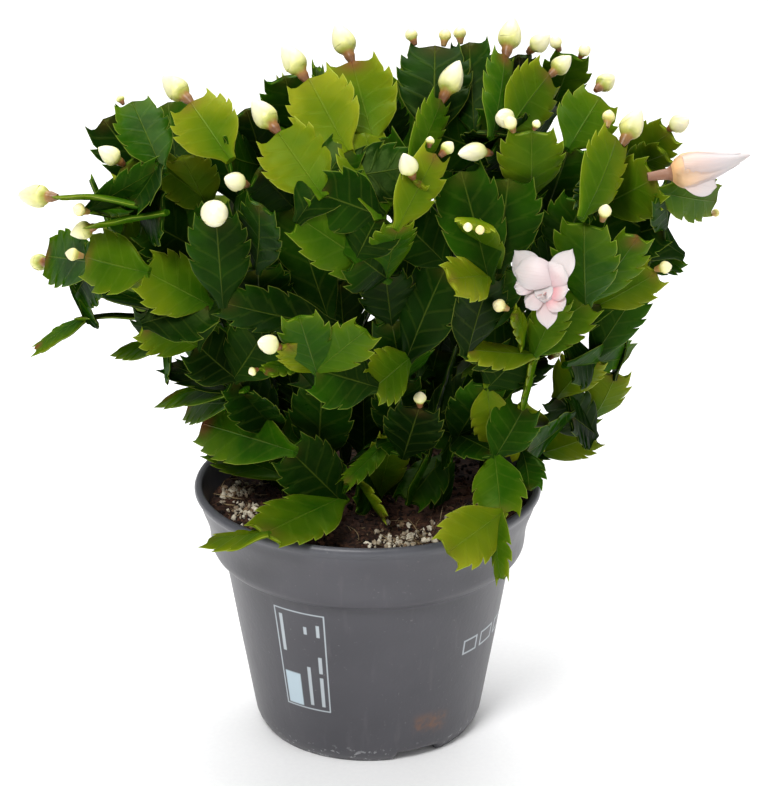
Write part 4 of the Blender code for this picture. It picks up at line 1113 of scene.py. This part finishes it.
def pot_finish():
    """Grey moulded plastic: faint scuffs along and round the wall, dusty specks near the foot,
    a brown stain, pale plain print, and a painted sheen of lighter blue-grey round the lip."""
    f = Finish("pot_grey_plastic")
    x, y, z = f.parts(f.place())
    turn = f.maths("MULTIPLY", f.maths("ARCTAN2", x, f.maths("MULTIPLY", y, -1.0)), 57.29578)
    high = f.maths("MULTIPLY", z, 1000.0)

    def patch(middle, height, half, tall, soft=0.25):
        a = f.maths("ABSOLUTE", f.maths("SUBTRACT", turn, middle))
        b = f.maths("ABSOLUTE", f.maths("SUBTRACT", high, height))
        return f.maths("MULTIPLY", f.step(a, half + soft, half - soft),
                       f.step(b, tall + soft, tall - soft))

    def union(marks):
        whole = marks[0]
        for mark in marks[1:]:
            whole = f.maths("MAXIMUM", whole, mark)
        return whole

    broad, fine, grain = f.noise(22.0, 3.0), f.noise(700.0, 2.0), f.noise(160.0, 4.0)
    streak = f.noise(1.0, 3.0, where=f.place((240.0, 240.0, 18.0)))
    colour = f.ramp(broad, (0.3, (0.045, 0.044, 0.052)), (0.7, (0.063, 0.061, 0.071)))
    colour = f.mix(f.maths("MULTIPLY", f.step(streak, 0.55, 0.8), 0.14), colour,
                   (0.21, 0.20, 0.21, 1))
    colour = f.mix(f.maths("MULTIPLY", f.step(fine, 0.66, 0.8), 0.25), colour,
                   (0.26, 0.25, 0.25, 1))
    # Painted sheen: the lip from 90 to 96 mm up is tinted a lighter blue-grey all round, a
    # reflection painted into the plastic's colour.
    lip_painted_sheen = f.maths("MULTIPLY", f.step(high, 90.0, 96.0), 0.35)
    colour = f.mix(lip_painted_sheen, colour, (0.085, 0.092, 0.105, 1))
    bar_marks = union([patch(*b) for b in BARS])
    frame_mark = f.maths("SUBTRACT", patch(*LABEL), patch(
        LABEL[0], LABEL[1], LABEL[2] - 0.55, LABEL[3] - 0.45), clamp=True)
    side_marks = f.maths("MULTIPLY", union([patch(*b) for b in SIDE_BARS]), 0.62)
    side_marks = f.maths("SUBTRACT", side_marks, union(
        [patch(b[0], b[1], b[2] - 1.0, b[3] - 0.8) for b in SIDE_BARS]), clamp=True)
    print_marks = union([f.maths("MULTIPLY", frame_mark, 0.75), f.maths("MULTIPLY", bar_marks, 0.7),
                         side_marks])
    colour = f.mix(print_marks, colour, (0.56, 0.62, 0.66, 1))
    colour = f.mix(f.maths("MULTIPLY", patch(*PATCH, soft=0.4), 0.85), colour,
                   (0.50, 0.62, 0.69, 1))
    stain = f.maths("MULTIPLY", patch(31.0, 15.0, 8.5, 3.5, 3.0), f.step(grain, 0.38, 0.66))
    colour = f.mix(f.maths("MULTIPLY", stain, 0.75), colour, (0.20, 0.085, 0.035, 1))
    specks = f.maths("MULTIPLY", f.step(high, 9.0, 2.0), f.step(f.noise(520.0, 3.0), 0.60, 0.68))
    colour = f.mix(f.maths("MULTIPLY", specks, 0.6), colour, (0.52, 0.53, 0.54, 1))
    dirt = f.maths("MULTIPLY", f.step(high, 92.0, 84.0), f.step(grain, 0.5, 0.75))
    inside = f.maths("LESS_THAN", f.maths("SQRT", f.maths(
        "ADD", f.maths("MULTIPLY", x, x), f.maths("MULTIPLY", y, y))), 0.0585)
    inside = f.maths("MULTIPLY", inside, f.step(high, 76.0, 80.0))
    colour = f.mix(f.maths("MULTIPLY", dirt, inside), colour, (0.03, 0.018, 0.012, 1))
    rough = f.maths("MULTIPLY_ADD", broad, 0.12, 0.34)
    rough = f.maths("MULTIPLY_ADD", f.step(streak, 0.5, 0.8), 0.1, rough)
    f.shine(0.5)
    bump = f.bump(f.maths("MULTIPLY_ADD", fine, 0.4, grain), 0.00012)
    return f.end(colour, rough, bump)


def mix_finish():
    """Damp peat: very dark brown, redder where it is drier, with crumbs picked out."""
    f = Finish("peat")
    broad, crumbs = f.noise(60.0, 3.0), f.noise(650.0, 4.0)
    colour = f.ramp(crumbs, (0.30, (0.008, 0.004, 0.003)), (0.52, (0.030, 0.014, 0.009)),
                    (0.72, (0.085, 0.038, 0.020)))
    colour = f.mix(f.step(broad, 0.45, 0.7), colour, (0.055, 0.021, 0.011, 1), "ADD")
    f.shine(0.25)
    return f.end(colour, 0.86, f.bump(crumbs, 0.0009))


def grain_finish(name, dark, light, roughness):
    """Loose grains: from dark to light by each grain's own tone, mottled."""
    f = Finish(name, roughness)
    chance, _, _ = f.tone()
    mottle = f.maths("MULTIPLY_ADD", f.maths("SUBTRACT", f.noise(900.0, 2.0), 0.5), 0.6, chance)
    colour = f.ramp(mottle, (0.1, dark), (0.9, light))
    f.shine(0.3)
    return f.end(colour, None, f.bump(mottle, 0.0003))


def floor_finish():
    """Pale studio paper."""
    f = Finish("studio_paper", 0.9)
    tooth = f.noise(600.0, 2.0)
    f.shine(0.1)
    return f.end(f.ramp(tooth, (0.3, (0.93, 0.93, 0.935)), (0.7, (0.96, 0.96, 0.96))))


# ---- Pieces ------------------------------------------------------------------------------------

# Outside of the pot from the foot ring up over the lip, then down the inside, finer than the CAD
# outline: (radius, height) in mm.
POT_LINE = (
    (0.0, 2.1), (20.0, 2.1), (37.0, 2.1), (37.6, 1.6),
    (37.9, 0.35), (38.4, 0.03), (39.8, 0.03), (40.6, 0.3), (42.6, 3.4), (43.4, 5.6), (44.0, 9.0),
    (46.3, 22.5), (48.7, 36.5), (50.6, 48.0), (52.4, 59.0), (53.9, 67.6), (54.15, 69.0),
    (54.5, 69.6), (55.4, 70.1), (56.9, 70.9), (58.1, 72.2), (58.9, 73.8), (59.2, 75.4),
    (59.45, 78.5), (59.8, 81.4), (60.3, 83.4), (61.2, 86.4), (62.1, 88.6), (62.8, 90.6),
    (63.3, 92.6), (63.7, 93.7), (64.4, 94.5), (64.9, 95.3), (65.0, 96.1), (64.7, 97.0),
    (64.1, 97.7), (63.4, 98.0), (62.7, 97.7), (62.2, 97.0), (61.9, 95.6), (61.4, 93.6),
    (60.4, 89.8), (59.0, 85.4), (58.1, 82.4), (57.6, 78.6), (57.2, 75.6), (56.0, 73.2),
    (53.4, 71.0), (52.4, 69.4), (50.2, 56.0), (47.1, 37.0), (44.0, 18.5), (41.7, 5.0),
    (40.6, 3.2), (38.0, 2.5), (20.0, 2.4), (0.0, 2.4),
)


def pot_shape():
    """The pot: its line turned about z, 192 steps round. The foot ring's underside is lifted by
    a smooth-edged notch at each drain. The first and last rings close on the axis."""
    line = np.array(POT_LINE[1:-1])
    turn = np.linspace(0, 2 * np.pi, 192, endpoint=False)
    radius, height = line[:, :1] + 0 * turn, line[:, 1:] + 0 * turn
    notch = np.zeros_like(turn)
    for angle in DRAIN_ANGLES:
        off = np.abs((turn - math.radians(angle) + np.pi) % (2 * np.pi) - np.pi) * FOOT_R
        notch = np.maximum(notch, 1 - np.clip((off - DRAIN_W / 2 + 0.6) / 0.6, 0, 1))
    foot = (line[:, 1] < 5.4) & (np.arange(len(line)) > 1) & (np.arange(len(line)) < 9)
    height[foot] = np.maximum(height[foot], notch * (DRAIN_H + 0.12 * height[foot]))
    wave = 0.12 * np.sin(2 * turn + 0.7) * (line[:, 1:] / POT_H) ** 3
    radius = radius + wave * (line[:, :1] < 64.6)
    return surface_round(np.stack([radius * np.sin(turn), -radius * np.cos(turn), height], -1))


def mix_top(x, y):
    """The mix's dome with its lumps and hollows, as high as the CAD's to a millimetre or so."""
    reach = np.clip(np.hypot(x, y) / MIX_R, 0, 1)
    ripple = 0.7 * np.sin(0.16 * x + 1.0) * np.cos(0.13 * y) * (1 - reach**4)
    where = np.stack([x, y, 0 * x], -1)
    rough = 0.45 * unevenness(where, 0.22, 3) + 0.3 * unevenness(where, 0.9, 5, 2)
    return MIX_EDGE_Z + MIX_DOME * (1 - reach**2) + ripple + rough - 0.2


def mix_piece_shape():
    """The mix: a disc of rings under mix_top, turned down at the wall and closed below."""
    turn = np.linspace(0, 2 * np.pi, 220, endpoint=False)
    reach = np.linspace(59.6, 0.6, 84)[:, None]
    x, y = reach * np.sin(turn), -reach * np.cos(turn)
    top = np.stack([x, y, mix_top(x, y)], -1)
    side = [np.stack([r * np.sin(turn), -r * np.cos(turn), z + 0 * turn], -1)
            for r, z in ((20.0, 71.0), (51.5, 71.0), (57.0, 80.0), (59.0, 85.4))]
    return surface_round(np.concatenate([np.stack(side), top]))


def scatter(draw, count, within):
    """Spots spread evenly over the mix."""
    reach, turn = within * np.sqrt(draw.uniform(0, 1, count)), draw.uniform(0, 6.2832, count)
    return reach * np.sin(turn), -reach * np.cos(turn)


# Where pale grains and fibres gather on the mix, mm: middle x, y, spread, share of the grains.
CLUSTERS = ((-50, 9, 4.0, 0.24), (-46, -10, 3.4, 0.16), (-37, -27, 3.2, 0.08),
            (10, -40, 5.5, 0.32), (20, -36, 6.0, 0.12), (36, -24, 7.0, 0.08))


def gathered(draw, count):
    """Spots on the mix, most of them in the clusters."""
    shares = np.array([c[3] for c in CLUSTERS])
    pick = draw.choice(len(CLUSTERS), count, p=shares / shares.sum())
    middle = np.array([c[:2] for c in CLUSTERS])[pick]
    spread = np.array([c[2] for c in CLUSTERS])[pick, None]
    spots = middle + draw.normal(size=(count, 2)) * spread
    far = np.hypot(*spots.T)
    spots *= np.minimum(1, 57.5 / far)[:, None]
    return spots[:, 0], spots[:, 1]


def bedded(x, y, above):
    """The spots as points that stand above the mix's top by the given amount."""
    return np.stack([x, y, mix_top(x, y) + above], -1)


def normed(way):
    """The direction at length one."""
    return way / np.linalg.norm(way)


def flower_front_shapes(bloom):
    """The open flower: a tube from its foot, two broad upper petals laid back, a narrow lowest
    one, a rounded hood over the throat and shorter petals at its sides, with stamens inside."""
    foot, axis = np.array(bloom.foot), np.array(bloom.axis)
    across = normed(np.array([1.0, 0, 0]) - axis * axis[0])
    above = np.cross(across, axis)
    above *= np.sign(above[2])
    share = np.linspace(-0.06, 0.84, 16)
    radius = curve(((-0.06, 0.9), (0.1, 1.5), (0.3, 2.4), (0.5, 3.2), (0.7, 4.2), (0.84, 3.2)),
                   share)
    shapes = [surface_round(profile_rings(foot, axis, share * 24, radius, 20, crease=0.05))]
    tones = [(0.5, 0.2, 0.0, 0)]

    def out(clock):
        turn = math.radians(clock)
        return above * math.cos(turn) + across * math.sin(turn)

    # Clock, start along the axis, start aside and above, length, width, lift, curl, cup, ruffle,
    # bluntness and tone: the two upper petals, the lowest one, the hood, then those at its sides.
    rows = (
        (-39, 15.6, -1.0, 1.4, 17.2, 10.8, 1.6, 3.4, 0.05, 0.06, 0.9, (0, 0.05, 0, 0)),
        (30, 15.6, 1.2, 1.4, 14.8, 9.0, 1.8, 3.0, 0.06, 0.05, 0.9, (0, 0.1, 0, 0)),
        (181, 17.0, 0.2, -1.2, 11.4, 7.8, 1.2, 2.6, -0.12, 0.08, 0.9, (0, 0.3, 0, 0)),
        (-128, 17.8, -0.8, -0.6, 7.6, 7.0, 1.8, 1.6, -0.1, 0.2, 0.5, (0, 0.25, 0, 0)),
        (142, 17.8, 1.0, -0.4, 8.2, 7.4, 2.2, 1.6, -0.1, 0.15, 0.5, (0, 0.8, 0, 0)),
        (100, 18.4, 0.8, 1.0, 7.8, 8.4, 3.2, 1.4, -0.1, 0.1, 0.5, (0, 1.0, 0, 0)),
        (44, 19.2, 0.6, 1.4, 9.0, 10.5, 4.2, 2.8, -0.14, 0.05, 0.45, (0, 0.45, 0, 0)),
        (-80, 20.0, 5.2, 4.2, 15.4, 11.6, 4.6, 3.8, -0.17, 0.06, 0.4, (0, 0.2, 0, 0)),
        (-92, 19.4, -3.0, 1.6, 7.0, 6.0, 2.6, 1.6, -0.12, 0.45, 0.3, (0, 0.3, 0, 0)),
    )
    for clock, start, aside, up, *form, tone in rows:
        base = foot + axis * start + across * aside + above * up
        shapes.append(petal(base, axis, out(clock), *form))
        tones.append(tone)
    draw = np.random.default_rng(7)
    for _ in range(5):
        way = normed(axis + 0.35 * (across * draw.normal() * 0.6
                                    + above * (draw.normal() * 0.4 - 0.6)))
        reach = np.linspace(0, 4.2 + 1.2 * draw.uniform(), 5)
        rod = np.array([0.28, 0.2, 0.18, 0.34, 0.3])
        shapes.append(surface_round(profile_rings(
            foot + axis * 18.6 + out(draw.uniform(100, 200)), way, reach, rod, 6)))
        tones.append((0.3, 1.0, 0.1, 0))
    return shapes, tones


def flower_right_shapes(bloom):
    """The opening flower: a short brown foot, a peach tube, petals wrapped forward to a point,
    and one petal loose below."""
    foot, axis = np.array(bloom.foot), np.array(bloom.axis)
    (length, radius), bend = BUDS["O"], 2.6
    outline = ((-0.16, 0.2), (-0.08, 0.23), (0.0, 0.26), (0.08, 0.3), (0.12, 0.42), (0.16, 0.62),
               (0.22, 0.78), (0.34, 0.84), (0.48, 0.72), (0.66, 0.5), (0.84, 0.28), (0.95, 0.13),
               (1.0, 0.04))
    share = np.linspace(-0.16, 1.0, 31)
    rings = profile_rings(foot, axis, share * length,
                          np.maximum(curve(outline, share), 0.02) * radius, 28, bend,
                          crease=0.04)
    cut = 8
    body = surface_round(rings[cut - 1:])
    body[3][:, 1] = np.clip(body[3][:, 1] * 1.6, 0, 1)
    shapes, tones = [body, surface_round(rings[:cut])], [(0.9, 0.1, 0, 0), (0, 0, 0.9, 0)]
    for start, stop, turn, spread, proud in (
            (0.14, 0.72, 0.4, 1.0, 0.25), (0.15, 0.84, 2.4, 1.0, 0.3), (0.16, 0.9, 4.4, 1.0, 0.35),
            (0.24, 0.95, 5.6, 0.9, 0.5), (0.26, 0.88, 1.4, 0.9, 0.55), (0.24, 0.66, 3.3, 0.9, 0.7)):
        shapes.append(wrapped_petal(bloom, outline, length, radius, start, stop, turn, spread,
                                    proud, bend))
        tones.append((1.0 if start < 0.2 else 0.45, 0.25, 0, 0))
    below = np.array([0.45, 0.0, -1.0])
    below = normed(below - axis * axis.dot(below))
    ahead = normed(axis * 0.92 + below * 0.4)
    front = np.array([0.1, -1.0, 0.3])
    front = normed(front - ahead * ahead.dot(front))
    shapes.append(petal(foot + axis * 5.5 + below * 1.6 + front * 2.6, front, ahead, 13.0, 9.6,
                        2.4, 1.8, -0.14, 0.12, 0.4))
    tones.append((0.25, 0.1, 0, 0))
    return shapes, tones


# How young each age looks, from 0 to 1, and how small a bud of each size looks.
YOUTH = {"y": 0.67, "m": 0.52, "o": 0.18, "p": 0.48}
SMALLNESS = {"T": 1.0, "S": 0.55, "R": 0.0}
CRUMBS, GRAINS, FIBRES = 1500, 330, 170


def build(plant):
    """All the pieces. Every random choice comes from one generator, in this order."""
    draw = np.random.default_rng(41)
    stem, bud_skin, petals = stem_finish(), bud_finish(), petal_finish()
    for cutting, node in NAMES.items():
        shapes, tones = [], []
        for s in plant.segments:
            if s.cutting != cutting:
                continue
            shapes.append(segment_skin(s, draw))
            youth, chance = YOUTH[s.age] + draw.uniform(-0.1, 0.1), draw.uniform()
            red = draw.uniform() ** 2 if s.age != "o" else 0.15
            tones.append((youth, chance, red, 0))
        piece(node.replace("cutting", "stems"), shapes, stem, [node], tones)

    flowers = {"F": ("flower_front", flower_front_shapes),
               "O": ("flower_right", flower_right_shapes)}
    count = 0
    for bud in plant.buds:
        if bud.size in flowers:
            name, shaped = flowers[bud.size]
            shapes, tones = shaped(bud)
            piece("open_" + name, shapes, petals, [name], tones)
            continue
        count += 1
        tone = (SMALLNESS.get(bud.size, 0.12), draw.uniform(), 0, 0)
        shapes = bud_shapes(bud, draw)
        piece(f"closed_bud_{count:02d}", shapes, bud_skin, [f"bud_{count:02d}"],
              [tone] * len(shapes))

    piece("nursery_pot", [pot_shape()], pot_finish(), ["pot"])
    piece("mix_bed", [mix_piece_shape()], mix_finish(), ["potting_mix"])

    x, y = scatter(draw, CRUMBS, 58.6)
    sizes = draw.uniform(0.35, 1.25, CRUMBS)
    rings = lumps(bedded(x, y, 0.1 * sizes), sizes, draw)
    piece("mix_crumbs", [surface_round(r) for r in rings],
          grain_finish("peat_crumbs", (0.010, 0.005, 0.004), (0.10, 0.045, 0.024), 0.9), [],
          [(t, 0, 0, 0) for t in draw.uniform(0, 1, CRUMBS) ** 1.6])
    x, y = gathered(draw, GRAINS)
    sizes = draw.uniform(0.35, 1.15, GRAINS)
    rings = lumps(bedded(x, y, 0.45 * sizes + 0.3), sizes, draw)
    piece("pale_grains", [surface_round(r) for r in rings],
          grain_finish("pale_grit", (0.20, 0.13, 0.07), (0.72, 0.66, 0.52), 0.85), [],
          [(t, 0, 0, 0) for t in draw.uniform(0, 1, GRAINS)])
    x, y = np.concatenate([gathered(draw, FIBRES), scatter(draw, FIBRES, 56)], axis=1)
    ways = draw.normal(size=(2 * FIBRES, 3)) * (1, 1, 0.28)
    ways /= np.linalg.norm(ways, axis=1, keepdims=True)
    rings = strands(bedded(x, y, 0.5), ways, draw.uniform(3, 9, 2 * FIBRES),
                    draw.uniform(0.1, 0.26, 2 * FIBRES), draw)
    inside = np.hypot(rings[..., 0], rings[..., 1]).max((1, 2)) < 59.8
    piece("peat_fibres", [surface_round(r) for r in rings[inside]],
          grain_finish("peat_fibre", (0.035, 0.017, 0.008), (0.42, 0.31, 0.16), 0.8), [],
          [(t, 0, 0, 0) for t in draw.uniform(0, 1, int(inside.sum())) ** 1.3])


# Camera: focal length and sensor width in mm, its place in metres, its turn and its downward
# tilt in radians. The world's brightness is relative to the lights in watts.
LENS, SENSOR = 114.5038168, 36.0
CAMERA_SPOT, CAMERA_TURN, CAMERA_TILT = (0.0, -0.86364, 0.465), -0.007, 0.368
WORLD_LIGHT = 0.32


def soft_light(name, spot, target, size, power):
    """A round area light, size across in metres, turned to its target."""
    data = bpy.data.lights.new(name, "AREA")
    data.shape, data.size, data.energy = "DISK", size, power
    made = bpy.data.objects.new(name, data)
    bpy.context.scene.collection.objects.link(made)
    made.location = spot
    made.rotation_euler = (Vector(target) - Vector(spot)).to_track_quat("-Z", "Y").to_euler()


def studio():
    """Pale floor, soft lights and the camera, which looks down on the pot from the front."""
    mesh = bpy.data.meshes.new("floor")
    mesh.from_pydata([(-4, -4, 0), (4, -4, 0), (4, 4, 0), (-4, 4, 0)], [], [(0, 1, 2, 3)])
    mesh.materials.append(floor_finish())
    floor = bpy.data.objects.new("floor", mesh)
    bpy.context.scene.collection.objects.link(floor)

    world = bpy.data.worlds.new("soft_room")
    world.use_nodes = True
    background = world.node_tree.nodes["Background"].inputs
    background[0].default_value, background[1].default_value = (1.0, 1.0, 1.0, 1.0), WORLD_LIGHT
    bpy.context.scene.world = world
    soft_light("key", (-0.5, -1.2, 1.5), (0, 0, 0.15), 0.6, 27.0)
    soft_light("fill", (1.3, -0.9, 0.9), (0, 0, 0.12), 1.2, 5.0)
    soft_light("top", (0.1, 0.9, 2.4), (0, 0.6, 0.0), 2.6, 75.0)

    data = bpy.data.cameras.new("camera")
    data.lens, data.sensor_width, data.sensor_fit = LENS, SENSOR, "AUTO"
    data.clip_start, data.clip_end = 0.05, 20.0
    camera = bpy.data.objects.new("camera", data)
    bpy.context.scene.collection.objects.link(camera)
    camera.location = CAMERA_SPOT
    level = math.cos(CAMERA_TILT)
    ahead = Vector((-math.sin(CAMERA_TURN) * level, math.cos(CAMERA_TURN) * level,
                    -math.sin(CAMERA_TILT)))
    camera.rotation_euler = ahead.to_track_quat("-Z", "Y").to_euler()
    bpy.context.scene.camera = camera
    bpy.context.scene.view_settings.view_transform = "Standard"


def main():
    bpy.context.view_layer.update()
    plant = Plant()
    plant.grow()
    build(plant)
    studio()


main()
